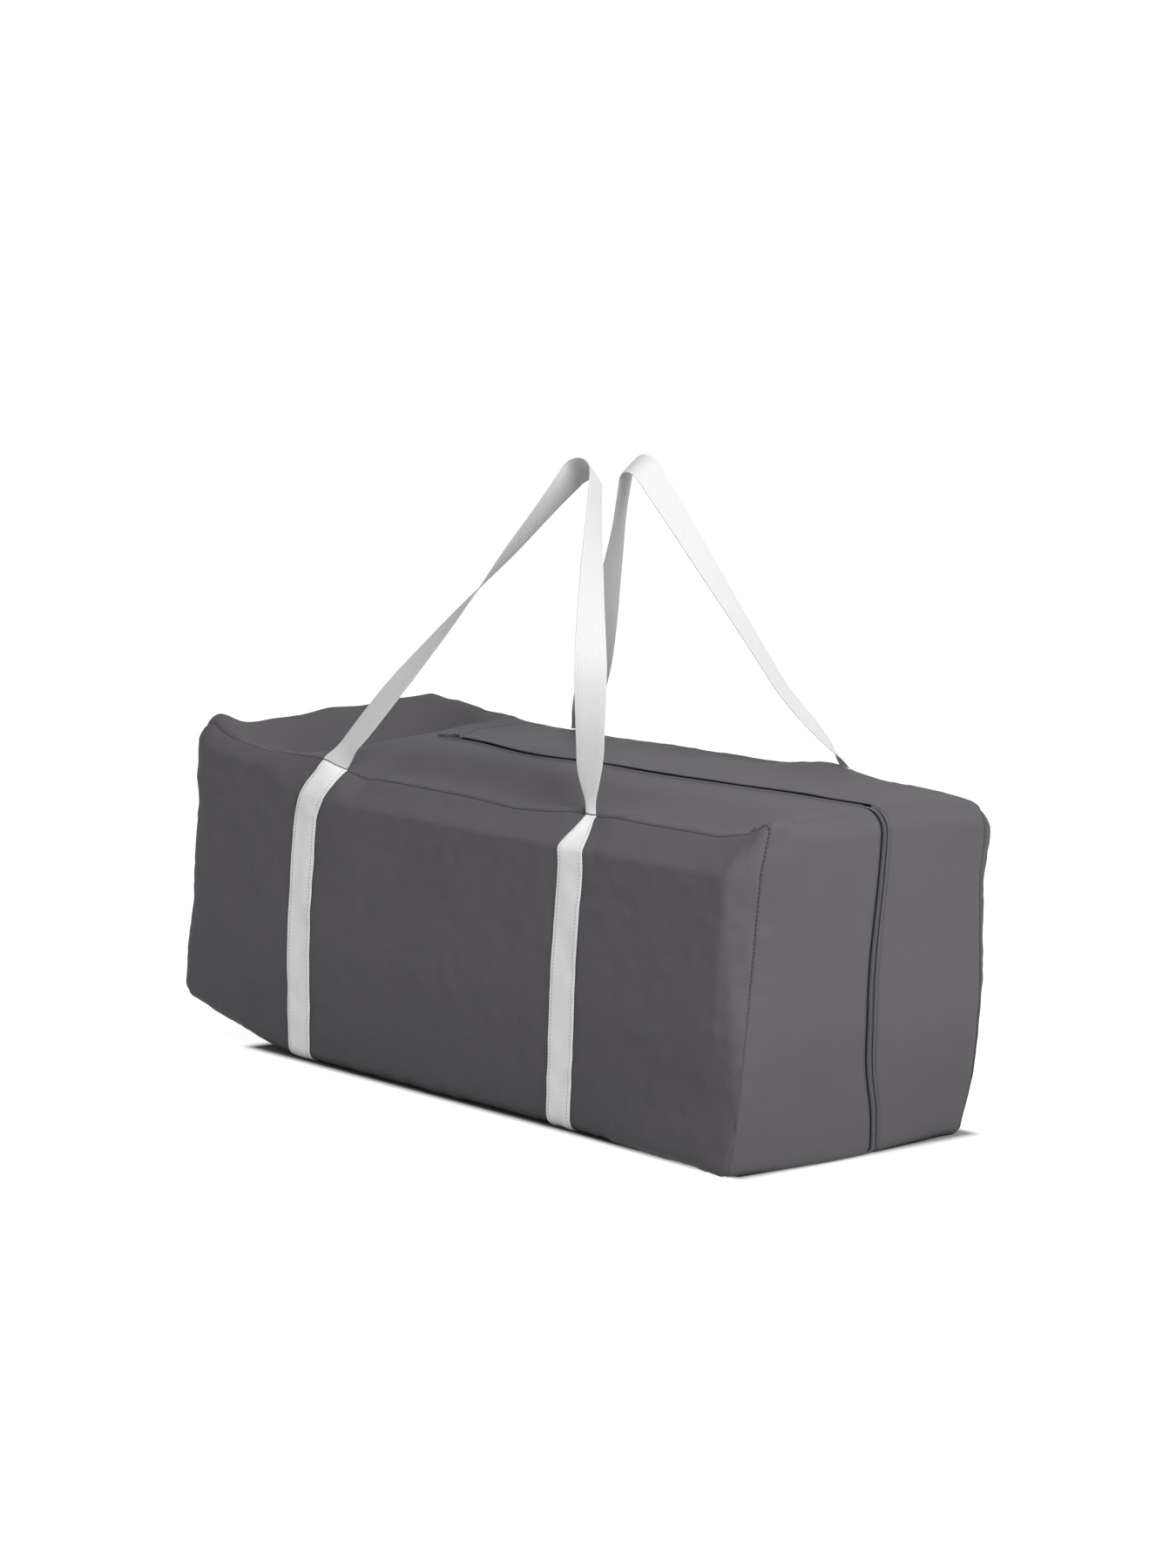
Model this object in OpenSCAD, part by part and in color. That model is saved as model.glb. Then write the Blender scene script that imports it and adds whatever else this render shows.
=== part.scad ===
// Folding playpen packed in its zipped carry bag.
// X runs along the bag, with the zipped end at +X. The front side faces -Y. Z is up.
// The origin is on the floor, under the middle of the bag.

/* [Bag] */
// Length of the bag
bag_l = 740; // [700:1:800]
// Width of the bag
bag_w = 328; // [320:1:345]
// Height of the front top edge
front_h = 295; // [292:1:305]
// How much the top is crowned between its front and back edges
crown_rise = 5; // [2:1:10]
// How much higher the back top edge is than the front one
back_rise = 20; // [10:1:26]
// Thickness of the bag fabric
fabric_t = 1.2; // [0.8:0.1:1.4]
// How far the side panels round over at the top edges
top_edge_r = 22; // [20:1:26]
// How far the side seams lie in from the side faces, and the radius of the lower edges
seam_in = 14; // [13:1:15]
// Radius of the top edge of the zipped end
end_edge_r = 24; // [23:1:28]
// Radius of the other end edges
low_edge_r = 18; // [16:1:22]
// Gap between neighbouring pieces of fabric
seam_gap = 0.4; // [0.3:0.1:0.6]

/* [Slack end] */
// Length of the slack end, past the end of the packed playpen
slack_l = 165; // [150:1:175]
// Height that the closed end's base is lifted off the floor
slack_lift = 32; // [15:1:36]
// Depth of the valley in the slack top
slack_sag = 26; // [10:1:30]
// Height of the ridge at the closed end, above the front top edge
end_ridge = 13; // [5:1:18]

/* [Zip] */
// How far from the closed end the zip starts
zip_in = 194; // [190:1:210]
// Width of the zip's coil
coil_w = 6; // [5:0.5:6.5]
// Width of the open channel between the fabric edges
zip_channel = 10.4; // [10:0.2:14]
// Width of each zip tape
tape_w = 13; // [10:1:16]
// Length of the slider's body
slider_l = 11.5; // [10:0.5:13]
// Length of the slider's pull
pull_l = 24; // [18:1:30]

/* [Webbing] */
// Width of the webbing
web_w = 30; // [25:1:34]
// Thickness of the webbing
web_t = 1.4; // [1.2:0.1:1.4]
// Gap between a handle's end and the strap that it is sewn to
anchor_gap = 0.4; // [0.3:0.1:0.8]
// How far from the closed end the front side's strap is sewn
closed_strap_inset = 178; // [165:1:190]
// How far from the zipped end the front side's strap is sewn
zip_strap_inset = 208; // [195:1:230]
// How far from the closed end the back side's strap is sewn
back_closed_inset = 235; // [200:1:245]
// How far from the zipped end the back side's strap is sewn
back_zip_inset = 192; // [180:1:205]
// Rise of the front handle above its anchors, measured in its leaning plane
handle_rise = 317; // [250:1:330]
// How much less the back handle rises
back_handle_drop = 14; // [0:1:20]
// Lean of the handles inward from upright, in degrees
handle_lean = 23.5; // [12:0.5:24.5]
// Radius of a handle's crown
crown_r = 20; // [16:1:30]
// Place of the handles' crowns along the bag
crown_x = 17; // [-20:1:40]
// Twist of the webbing between anchor and crown, in degrees
handle_twist = 105; // [0:1:110]

/* [Mattress] */
// Length of a mattress panel
panel_l = 570; // [540:5:580]
// How much lower the wrapped mattress is than the bag's front top edge
wrap_drop = 11; // [10:1:15]
// Gap between the wrapped mattress and the zipped end
wrap_end_gap = 7.5; // [7.5:0.5:12]
// Thickness of a mattress panel
panel_t = 16.5; // [12:0.5:17]
// Rounding of a mattress panel's corners
panel_r = 18; // [10:1:24]
// Thickness of the stiffening board behind each panel
board_t = 3; // [2:0.5:4]
// Width of the mattress closure straps
closure_w = 38; // [25:1:50]

/* [Folded frame] */
// Diameter of the corner posts
post_d = 22; // [20:0.5:24]
// How much shorter the corner posts are than the bag
frame_room = 60; // [58:1:80]
// Diameter of the long top rails
rail_d = 18; // [16:0.5:19]
// How much shorter a long half rail is than a post
rail_room = 150; // [145:5:180]
// Length of a short half rail
short_rail_l = 260; // [220:5:300]
// Diameter of the base legs
leg_d = 16; // [14:0.5:17]
// Size of the square bundle, between post centres
bundle = 92; // [90:1:100]
// Width of a moulded corner or foot
housing_w = 40; // [36:1:42]
// Length of a moulded corner or foot
housing_l = 52; // [48:1:56]
// Length of a centre latch
latch_l = 56; // [50:1:64]
// Radius of the pivot pins
pin_r = 2.5; // [2:0.1:3]
// Number of pleats in the gathered liner
pleats = 24; // [16:2:28]
// Thickness of the liner's cloth
liner_t = 1.2; // [0.8:0.1:1.4]

/* [Hidden] */
$fn = 48;

half_l = bag_l / 2;
half_w = bag_w / 2;
clear = 0.3;
zip_start = zip_in - half_l;
// Places of a side's two straps along the bag; side is -1 at the front and 1 at the back
function strap_x_closed(side) = (side < 0 ? closed_strap_inset : back_closed_inset) - half_l;
function strap_x_zip(side) = half_l - (side < 0 ? zip_strap_inset : back_zip_inset);
wrap_h = front_h - wrap_drop;
post_l = bag_l - frame_room;
long_rail_l = post_l - rail_room;

// Colours
fabric_c = "#4b484c";
flap_c = "#6a676b";
web_c = "#dcdcde";
metal_c = "#3c3b3e";
pad_c = "#5a585c";
board_c = "#a58a66";
steel_c = "#8e9094";
plastic_c = "#2e2e31";
mesh_c = "#77757a";

// ---- Shape of the bag's skin ----
function unit(t) = max(0, min(1, t));
function ease(t) = let (u = unit(t)) u * u * (3 - 2 * u);
function bump(t) = let (u = unit(t)) 16 * u * u * (1 - u) * (1 - u);
function flat(rows) = [for (row = rows) each row];

seam_y = half_w - seam_in;
flap_end_x = half_l - end_edge_r;

// How far a station lies into the slack end: 0 at the packed part, 1 at the closed end
function slack(x) = unit((-half_l + slack_l - x) / slack_l);
function base_z(x) = slack_lift * pow(slack(x), 1.6);
// Height of the packed top: crowned, and higher at the back than at the front
function cross_top(y) = let (u = y / seam_y)
    front_h + crown_rise * (1 - u * u) + back_rise * (u + 1) / 2;
// The slack top sags into a valley, then rises to a ridge at the closed end
valley_edge = 70;
ridge_edge = 25;
function top_z(x, y) = let (s = slack(x), in = half_w - abs(y))
    cross_top(y) - slack_sag * bump(s) * ease(in / valley_edge)
    + end_ridge * ease(1.6 * s - 0.6) * ease(in / ridge_edge);

// Lengthwise sections of the skin at a place y across the bag, as lists of [x, z]
function zip_end_path(y) = let (top = top_z(half_l, y)) concat(
    [for (k = [0:5]) let (a = 90 * k / 5)
        [half_l - low_edge_r * (1 - sin(a)), low_edge_r * (1 - cos(a))]],
    [for (k = [1:3]) [half_l, low_edge_r + (top - end_edge_r - low_edge_r) * k / 4]],
    [for (k = [0:6]) let (a = 90 * k / 6)
        [flap_end_x + end_edge_r * cos(a), top - end_edge_r + end_edge_r * sin(a)]]);
slack_steps = 12;
function slack_path(y) = concat(
    [[zip_start, top_z(zip_start, y)]],
    [for (i = [0:slack_steps])
        let (x = -half_l + low_edge_r + (slack_l - low_edge_r) * (1 - i / slack_steps))
        [x, top_z(x, y)]]);
function closed_path(y) = let (top = top_z(low_edge_r - half_l, y), low = base_z(-half_l)) concat(
    [for (k = [1:4]) let (a = 90 * k / 4)
        [-half_l + low_edge_r * (1 - sin(a)), top - low_edge_r * (1 - cos(a))]],
    [for (k = [1:3]) [-half_l, top - low_edge_r + (low + 2 * low_edge_r - top) * k / 4]],
    [for (k = [0:4]) let (a = 90 * k / 4)
        [-half_l + low_edge_r * (1 - cos(a)), low + low_edge_r * (1 - sin(a))]]);
base_steps = 10;
closed_base_x = low_edge_r - half_l;
function base_path() = concat(
    [for (i = [base_steps:-1:0]) let (x = closed_base_x + (slack_l - low_edge_r) * (1 - i / base_steps))
        [x, base_z(x) + (base_z(-half_l) - base_z(closed_base_x)) * i / base_steps]],
    [for (i = [1:4]) [-half_l + slack_l + (bag_l - slack_l - low_edge_r) * i / 4, 0]]);

// A path moved into the bag by d. Inside lies to the left of its direction.
function moved_in(path, d) = [for (i = [0:len(path) - 1])
    let (a = path[max(0, i - 1)], b = path[min(len(path) - 1, i + 1)],
        run = norm(b - a), side = [a[1] - b[1], b[0] - a[0]] / run)
    path[i] + side * d];

// ---- Closed sheets between two grids of points ----
module sheet_solid(outer, inner) {
    rows = len(outer);
    cols = len(outer[0]);
    count = rows * cols;
    function quad(a, b, c, d) = [[a, b, c], [a, c, d]];
    skins = [for (i = [0:rows - 2], j = [0:cols - 2])
        let (a = i * cols + j, b = a + 1, c = b + cols, d = a + cols)
        concat(quad(a, b, c, d), quad(count + a, count + d, count + c, count + b))];
    ends = [for (i = [0:rows - 2])
        let (a = i * cols, b = a + cols, e = a + cols - 1, f = b + cols - 1)
        concat(quad(a, b, count + b, count + a), quad(e, count + e, count + f, f))];
    sides = [for (j = [0:cols - 2])
        let (a = j, b = j + 1, e = (rows - 1) * cols + j, f = e + 1)
        concat(quad(a, count + a, count + b, b), quad(e, f, count + f, count + e))];
    polyhedron(points = flat(concat(outer, inner)), faces = flat(concat(skins, ends, sides)));
}

// A strip of the skin: section(y) gives its lengthwise section at each place across
module strip(sections, places) {
    outer = [for (k = [0:len(places) - 1]) [for (p = sections[k]) [p[0], places[k], p[1]]]];
    inner = [for (k = [0:len(places) - 1])
        [for (p = moved_in(sections[k], fabric_t)) [p[0], places[k], p[1]]]];
    sheet_solid(outer, inner);
}

// ---- Side panels: pans whose rim lies in the plane of the seams ----
pan_steps = 6;
// The rounding is deeper along the top of the packed part than elsewhere
function rim_inset(x, lean_down) = seam_in
    + (top_edge_r - seam_in) * unit(lean_down) * (1 - ease(3 * slack(x)));
function pan_rim(side) = let (y = side * seam_y, top = top_z(flap_end_x, y)) concat(
    base_path(),
    [for (i = [1:len(zip_end_path(y)) - 1]) zip_end_path(y)[i]],
    [for (i = [1:4]) [flap_end_x + (-half_l + slack_l - flap_end_x) * i / 5, top]],
    [for (i = [1:slack_steps + 1]) slack_path(y)[i]],
    [for (i = [0:len(closed_path(y)) - 2]) closed_path(y)[i]]);

module side_panel(side) {
    rim = pan_rim(side);
    n = len(rim);
    inward = [for (i = [0:n - 1])
        let (run = rim[(i + 1) % n] - rim[(i + n - 1) % n]) [-run[1], run[0]] / norm(run)];
    // One ring of points round the panel, at angle a from rim to face, moved in by d
    function ring(a, d) = [for (i = [0:n - 1])
        let (r = rim_inset(rim[i][0], -inward[i][1]),
            tilt = [cos(a) / r, sin(a) / seam_in],
            normal = tilt / norm(tilt),
            p = rim[i] + inward[i] * (r * (1 - cos(a)) + d * normal[0]))
        [p[0], side * (seam_y + seam_in * sin(a) - d * normal[1]), p[1]]];
    outer = [for (k = [0:pan_steps]) ring(90 * k / pan_steps, 0)];
    inner = [for (k = [0:pan_steps]) ring(90 * k / pan_steps, fabric_t)];
    rings = concat(outer, inner);
    middle = [slack_l / 4, side * half_w, front_h / 2];
    points = concat(flat(rings), [middle, middle - [0, side * fabric_t, 0]]);
    function at(k, i) = k * n + i % n;
    function quad(a, b, c, d) = [[a, b, c], [a, c, d]];
    skins = [for (k = [0:pan_steps - 1], i = [0:n - 1]) concat(
        quad(at(k, i), at(k + 1, i), at(k + 1, i + 1), at(k, i + 1)),
        let (q = pan_steps + 1 + k) quad(at(q, i), at(q, i + 1), at(q + 1, i + 1), at(q + 1, i)))];
    faces_in = [for (i = [0:n - 1]) [
        [at(pan_steps, i), len(points) - 2, at(pan_steps, i + 1)],
        [at(2 * pan_steps + 1, i + 1), len(points) - 1, at(2 * pan_steps + 1, i)]]];
    seam = [for (i = [0:n - 1])
        quad(at(0, i), at(0, i + 1), at(pan_steps + 1, i + 1), at(pan_steps + 1, i))];
    all_faces = flat(concat(skins, faces_in, seam));
    turned = [for (f = all_faces) side < 0 ? f : [f[2], f[1], f[0]]];
    polyhedron(points = points, faces = turned);
}
module front_side_panel() { color(fabric_c) side_panel(-1); }
module back_side_panel() { color(fabric_c) side_panel(1); }

// ---- Base, closed end and zipped end ----
strip_y = seam_y - seam_gap;
channel_y = zip_channel / 2;

module base_panel() {
    rim = base_path();
    last = len(rim) - 1;
    path = [for (i = [0:last]) i < last ? rim[i] : rim[i] - [seam_gap, 0]];
    high = moved_in(path, fabric_t);
    color(fabric_c)
        rotate([90, 0, 0])
            translate([0, 0, -strip_y])
                linear_extrude(2 * strip_y)
                    polygon(concat(path, [for (i = [len(high) - 1:-1:0]) high[i]]));
}

// The whole slack strip: its sagging top, the closed end and the turn under it
closed_places = [for (k = [0:12]) strip_y * (k / 6 - 1)];
function closed_section(y) = let (top = slack_path(y), path = closed_path(y)) concat(
    [top[0] - [seam_gap, 0]],
    [for (i = [1:len(top) - 1]) top[i]],
    [for (i = [0:len(path) - 2]) path[i]],
    [path[len(path) - 1] - [seam_gap, 0]]);
module closed_end_panel() {
    color(fabric_c) strip([for (y = closed_places) closed_section(y)], closed_places);
}

module zip_end(side) {
    places = [for (k = [0:6]) let (u = side < 0 ? k : 6 - k)
        side * (strip_y + (channel_y - strip_y) * u / 6)];
    color(flap_c) strip([for (y = places) zip_end_path(y)], places);
}
module zip_end_front() { zip_end(-1); }
module zip_end_back() { zip_end(1); }

// ---- Top flaps ----
// Outline across the bag that follows its crowned top between two depths under it
function top_band(y0, y1, d0, d1) = concat(
    [for (k = [0:8]) let (y = y0 + (y1 - y0) * k / 8) [y, cross_top(y) - d0]],
    [for (k = [8:-1:0]) let (y = y0 + (y1 - y0) * k / 8) [y, cross_top(y) - d1]]);
module along_top(x0, x1) { translate([x0, 0, 0]) rotate([90, 0, 90]) linear_extrude(x1 - x0) children(); }
flap_x0 = zip_start + seam_gap;
flap_x1 = flap_end_x - seam_gap;

module top_flap(side) {
    color(flap_c)
        along_top(flap_x0, flap_x1)
            polygon(top_band(side * channel_y, side * strip_y, 0, fabric_t));
}
module top_flap_front() { top_flap(-1); }
module top_flap_back() { top_flap(1); }

// ---- Zip ----
tape_t = 0.6;
tape_drop = fabric_t + 0.25;
tape_in = 1.2;
coil_t = 2;
coil_gap = 0.15;
coil_sunk = 0.3;
coil_start = flap_x0 + 3.2;
slider_w = zip_channel - 1.6;
plate_t = 0.9;
mid_top = cross_top(0);
coil_top = mid_top - tape_drop + coil_t;

// Section of one half of the coil, with its corners cut
module coil_section(side, top) {
    c = coil_t / 4;
    w = coil_w / 2 - coil_gap;
    h = coil_t + coil_sunk;
    translate([side * (coil_gap + w / 2), top])
        polygon([[-w / 2, -h], [w / 2, -h], [w / 2, -c], [w / 2 - c, 0], [c - w / 2, 0], [-w / 2, -c]]);
}
module top_zip(side) {
    color(metal_c) {
        along_top(flap_x0, flap_x1)
            polygon(top_band(side * tape_in, side * (tape_in + tape_w), tape_drop, tape_drop + tape_t));
        along_top(coil_start, flap_x1)
            coil_section(side, coil_top);
    }
}
module top_zip_front() { top_zip(-1); }
module top_zip_back() { top_zip(1); }

// Band that follows the zipped end's section between two depths, extruded across
module end_band(y0, y1, d0, d1) {
    path = zip_end_path(min(y0, y1));
    outer = moved_in(path, d0);
    inner = moved_in(path, d1);
    translate([0, max(y0, y1), 0])
        rotate([90, 0, 0])
            linear_extrude(abs(y1 - y0))
                polygon(concat(outer, [for (i = [len(inner) - 1:-1:0]) inner[i]]));
}
module end_zip(side) {
    color(metal_c) {
        end_band(side * tape_in, side * (tape_in + tape_w), tape_drop, tape_drop + tape_t);
        end_band(side * coil_gap, side * coil_w / 2, tape_drop - coil_t, tape_drop + tape_t + coil_sunk);
    }
}
module end_zip_front() { end_zip(-1); }
module end_zip_back() { end_zip(1); }

// Slider: two plates, the wedge between them, and the bridge that carries the pull
slider_x0 = flap_x0 + 0.6;
plate_top = coil_top + clear + plate_t;
plate_low = mid_top - tape_drop - tape_t - 1.1 - plate_t;
bar_r = 0.7;
bar_x = slider_x0 + 0.55 * slider_l;
bar_z = plate_top + 1.9;
lug = [3.2, 1.1, 3.2];
eye_w = 3.4;
pull_clear = 0.2;
pull_droop = 5;
module zip_slider() {
    color(metal_c) {
        for (z = [plate_top - plate_t, plate_low])
            translate([slider_x0, -slider_w / 2, z]) cube([slider_l, slider_w, plate_t]);
        translate([slider_x0, -0.8, plate_low]) cube([1.6, 1.6, plate_top - plate_low]);
        for (side = [-1, 1])
            translate([bar_x - lug[0] / 2, side * (eye_w / 2 + pull_clear + lug[1] / 2) - lug[1] / 2,
                    plate_top - plate_t / 2])
                cube([lug[0], lug[1], lug[2] + plate_t / 2]);
        translate([bar_x, eye_w / 2 + pull_clear + lug[1] / 2, bar_z])
            rotate([90, 0, 0]) cylinder(r = bar_r, h = eye_w + 2 * pull_clear + lug[1]);
    }
}

// Pull: an eye round the bar, a narrow neck and a tab with a slot
pull_t = 1.3;
pull_w = 6.4;
eye_r = 1.7;
module zip_pull() {
    neck = 6;
    color(metal_c)
        translate([bar_x, 0, bar_z])
            rotate([0, -pull_droop, 0])
                difference() {
                    union() {
                        translate([0, eye_w / 2, 0]) rotate([90, 0, 0]) cylinder(r = eye_r, h = eye_w);
                        translate([-neck, -eye_w / 2, -pull_t / 2]) cube([neck, eye_w, pull_t]);
                        translate([-pull_l + pull_w / 2, -pull_w / 2, -pull_t / 2])
                            cube([pull_l - neck - pull_w / 2 + 0.5, pull_w, pull_t]);
                        translate([-pull_l + pull_w / 2, 0, -pull_t / 2]) cylinder(d = pull_w, h = pull_t);
                    }
                    translate([0, eye_w, 0]) rotate([90, 0, 0]) cylinder(r = bar_r + 0.08, h = 2 * eye_w);
                    translate([-pull_l + pull_w / 2, -1, -pull_t]) cube([pull_l - neck - pull_w, 2, 2 * pull_t]);
                }
}

// ---- Webbing ----
// Point and outward normal of the side panel's rounding at angle a, as [y, z]
function edge_point(side, a) = [side * (seam_y + seam_in * sin(a)),
    cross_top(side * seam_y) - top_edge_r * (1 - cos(a))];
function edge_normal(side, a) = let (v = [side * sin(a) / seam_in, cos(a) / top_edge_r]) v / norm(v);
anchor_angle = 30;
roll_r = 0.85;
anchor_d = clear + web_t + roll_r + 0.15;
anchor_turn = (roll_r + anchor_gap) / norm([seam_in * cos(anchor_angle), top_edge_r * sin(anchor_angle)]);
strap_angle = anchor_angle + anchor_turn * 180 / PI * 0.8;
function anchor(side) = edge_point(side, anchor_angle) + edge_normal(side, anchor_angle) * anchor_d;
foot_angle = 60;
web_gap = 0.2;

// Webbing sewn down one side: from the handle's anchor, round the top edge and under the lower edge
module side_strap(side, x) {
    function skin(d) = concat(
        [for (k = [0:8]) let (a = strap_angle + (90 - strap_angle) * k / 8)
            edge_point(side, a) + edge_normal(side, a) * d],
        [for (k = [0:6]) let (a = foot_angle * k / 6)
            [side * (seam_y + (seam_in + d) * cos(a)), seam_in - (seam_in + d) * sin(a)]]);
    low = skin(web_gap);
    high = skin(web_gap + web_t);
    color(web_c)
        along_top(x - web_w / 2, x + web_w / 2)
            polygon(concat(high, [for (i = [len(low) - 1:-1:0]) low[i]]));
}
module front_strap_closed() { side_strap(-1, strap_x_closed(-1)); }
module front_strap_zip() { side_strap(-1, strap_x_zip(-1)); }
module back_strap_closed() { side_strap(1, strap_x_closed(1)); }
module back_strap_zip() { side_strap(1, strap_x_zip(1)); }

// Handle: a flat ribbon that twists between its anchors and its crown
leg_steps = 20;
crown_steps = 9;
turn_length = 45;
closed_bow = 16;
zip_bow = 7;
function bezier(a, b, c, t) = a * (1 - t) * (1 - t) + b * 2 * t * (1 - t) + c * t * t;
// Points of a handle's middle line in its own plane, with how far each is from anchor to crown
function handle_line(side, rise) = let (
    middle = [crown_x, rise - crown_r],
    left = [strap_x_closed(side), 0],
    right = [strap_x_zip(side), 0],
    left_a = 151,
    right_a = 23,
    left_top = middle + crown_r * [cos(left_a), sin(left_a)],
    right_top = middle + crown_r * [cos(right_a), sin(right_a)])
    concat(
        [for (i = [0:leg_steps]) let (t = i / leg_steps)
            [bezier(left, (left + left_top) / 2 + [2 * closed_bow, 0], left_top, t), t, -1]],
        [for (i = [1:crown_steps - 1]) let (a = left_a + (right_a - left_a) * i / crown_steps)
            [middle + crown_r * [cos(a), sin(a)], 1, 0]],
        [for (i = [leg_steps:-1:0]) let (t = i / leg_steps)
            [bezier(right, (right + right_top) / 2 - [2 * zip_bow, 0], right_top, t), t, 1]]);

module handle(side, rise) {
    line = handle_line(side, rise);
    n = len(line);
    foot = anchor(side);
    lean = [0, -side * sin(handle_lean), cos(handle_lean)];
    out = [0, side * cos(handle_lean), sin(handle_lean)];
    // Four corners of the ribbon at a point of the line, moved by shift along the plane's rise
    function corners(i, half_t, shift) = let (
        p = line[i][0],
        run = line[min(n - 1, i + 1)][0] - line[max(0, i - 1)][0],
        across = [-run[1], run[0]] / norm(run),
        end_side = line[i][2],
        straight = end_side == 0 ? 1 : ease(p[1] / turn_length),
        flat_dir = end_side == 0 ? across : across * straight + [end_side, 0] * (1 - straight),
        dir = flat_dir / norm(flat_dir),
        in_plane = [dir[0], 0, 0] + lean * dir[1],
        twist = handle_twist * ease(line[i][1] * 0.85 + 0.15 * line[i][1]),
        wide = (in_plane * cos(twist) - out * sin(twist)) * web_w / 2,
        thick = (in_plane * sin(twist) + out * cos(twist)) * half_t,
        centre = [p[0], foot[0], foot[1]] + lean * (p[1] + shift))
        [centre - wide - thick, centre + wide - thick, centre + wide + thick, centre - wide + thick];
    rings = concat(
        [corners(0, roll_r / 2, -roll_r * 0.7), corners(0, roll_r, 0)],
        [for (i = [1:n - 2]) corners(i, web_t / 2, 0)],
        [corners(n - 1, roll_r, 0), corners(n - 1, roll_r / 2, -roll_r * 0.7)]);
    m = len(rings);
    walls = [for (k = [0:m - 2], j = [0:3]) let (a = 4 * k + j, b = 4 * k + (j + 1) % 4)
        [[a, b, b + 4], [a, b + 4, a + 4]]];
    e = 4 * (m - 1);
    caps = [[[0, 2, 1], [0, 3, 2]], [[e, e + 1, e + 2], [e, e + 2, e + 3]]];
    faces = flat(concat(walls, caps));
    color(web_c) polyhedron(points = flat(rings), faces = [for (f = faces) side > 0 ? f : [f[2], f[1], f[0]]]);
}
module front_handle() { handle(-1, handle_rise); }
module back_handle() { handle(1, handle_rise - back_handle_drop); }

// ---- Mattress folded round the frame ----
closure_t = 1;
closure_gap = 0.2;
wrap_half_w = half_w - fabric_t - closure_t - 2 * closure_gap - 1.2;
wrap_z0 = fabric_t + closure_t + 2 * closure_gap + 0.8;
wrap_z1 = wrap_z0 + wrap_h;
wrap_x1 = half_l - wrap_end_gap;
wrap_x0 = wrap_x1 - panel_l;
pad_r = panel_t / 2 - 0.25;

module rounded(w, h, r) {
    translate([r, 0]) square([w - 2 * r, h]);
    translate([0, r]) square([w, h - 2 * r]);
    for (x = [r, w - r], y = [r, h - r]) translate([x, y]) circle(r);
}
// A pad that stands on edge along X, rounded in all three directions
module pad(height) {
    intersection() {
        translate([0, panel_t, 0]) rotate([90, 0, 0]) linear_extrude(panel_t) rounded(panel_l, height, panel_r);
        along_top(0, panel_l) rounded(panel_t, height, pad_r);
        linear_extrude(height) rounded(panel_l, panel_t, pad_r);
    }
}
top_pad_w = 2 * (wrap_half_w - panel_t - clear);
module mattress_front() { color(pad_c) translate([wrap_x0, -wrap_half_w, wrap_z0]) pad(wrap_h); }
module mattress_back() { color(pad_c) translate([wrap_x0, wrap_half_w - panel_t, wrap_z0]) pad(wrap_h); }
module mattress_bottom() {
    color(pad_c) translate([wrap_x0, top_pad_w / 2, wrap_z0]) rotate([90, 0, 0]) pad(top_pad_w);
}
module mattress_top() {
    color(pad_c) translate([wrap_x0, top_pad_w / 2, wrap_z1 - panel_t]) rotate([90, 0, 0]) pad(top_pad_w);
}

board_in = 6;
module mattress_boards() {
    length = panel_l - 2 * panel_r;
    wide = top_pad_w - 2 * board_in;
    seat = panel_t + clear;
    side_z = wrap_z0 + seat + board_t + clear;
    side_h = wrap_h - 2 * (side_z - wrap_z0);
    color(board_c) {
        for (z = [wrap_z0 + seat, wrap_z1 - seat - board_t])
            translate([wrap_x0 + panel_r, -wide / 2, z]) cube([length, wide, board_t]);
        for (y = [-top_pad_w / 2, top_pad_w / 2 - board_t])
            translate([wrap_x0 + panel_r, y, side_z]) cube([length, board_t, side_h]);
    }
}

// Closure strap: a loop round the wrapped mattress
module closure_strap(x) {
    d = closure_gap;
    w = 2 * wrap_half_w;
    color("#29292c")
        along_top(x - closure_w / 2, x + closure_w / 2)
            difference() {
                translate([-w / 2 - d - closure_t, wrap_z0 - d - closure_t])
                    rounded(w + 2 * d + 2 * closure_t, wrap_h + 2 * d + 2 * closure_t, pad_r + d + closure_t);
                translate([-w / 2 - d, wrap_z0 - d])
                    rounded(w + 2 * d, wrap_h + 2 * d, pad_r + d);
            }
}
module closure_strap_closed() { closure_strap(wrap_x0 + panel_l / 4); }
module closure_strap_zip() { closure_strap(wrap_x1 - panel_l / 4); }

// ---- Folded frame ----
mid_z = wrap_z0 + wrap_h / 2;
frame_x0 = -half_l + 20;
post_at = bundle / 2;
rail_at = 16;
leg_at = 13;
wall_t = 1.2;
ear_w = rail_d + 4;
ear_l = 32;
slot = rail_d + 2 * clear;
rail_x0 = frame_x0 + housing_l - ear_l + 8;
foot_x0 = frame_x0 + 4 + post_l - housing_l + 4;
long_latch_x = rail_x0 + long_rail_l - latch_l / 2;
short_latch_x = rail_x0 + short_rail_l - latch_l / 2;
pin_hole_r = pin_r + 0.1;
pin_inset = 10;

// Tube along X, with a hole for a pin across each end. pin_dir is "y" or "z".
module tube(length, d, pin_dir) {
    difference() {
        rotate([0, 90, 0]) cylinder(d = d, h = length);
        translate([-1, 0, 0]) rotate([0, 90, 0]) cylinder(d = d - 2 * wall_t, h = length + 2);
        for (x = [pin_inset, length - pin_inset])
            translate([x, 0, 0])
                rotate(pin_dir == "z" ? [0, 0, 0] : [90, 0, 0])
                    cylinder(r = pin_hole_r, h = 2 * d, center = true);
    }
}
module at_bundle(x, y, z) { translate([x, y, mid_z + z]) children(); }

module post(sy, sz) {
    color(steel_c)
        at_bundle(frame_x0 + 4, sy * post_at, sz * post_at)
            difference() {
                rotate([0, 90, 0]) cylinder(d = post_d, h = post_l);
                translate([-1, 0, 0]) rotate([0, 90, 0]) cylinder(d = post_d - 2 * wall_t, h = post_l + 2);
            }
}
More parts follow.
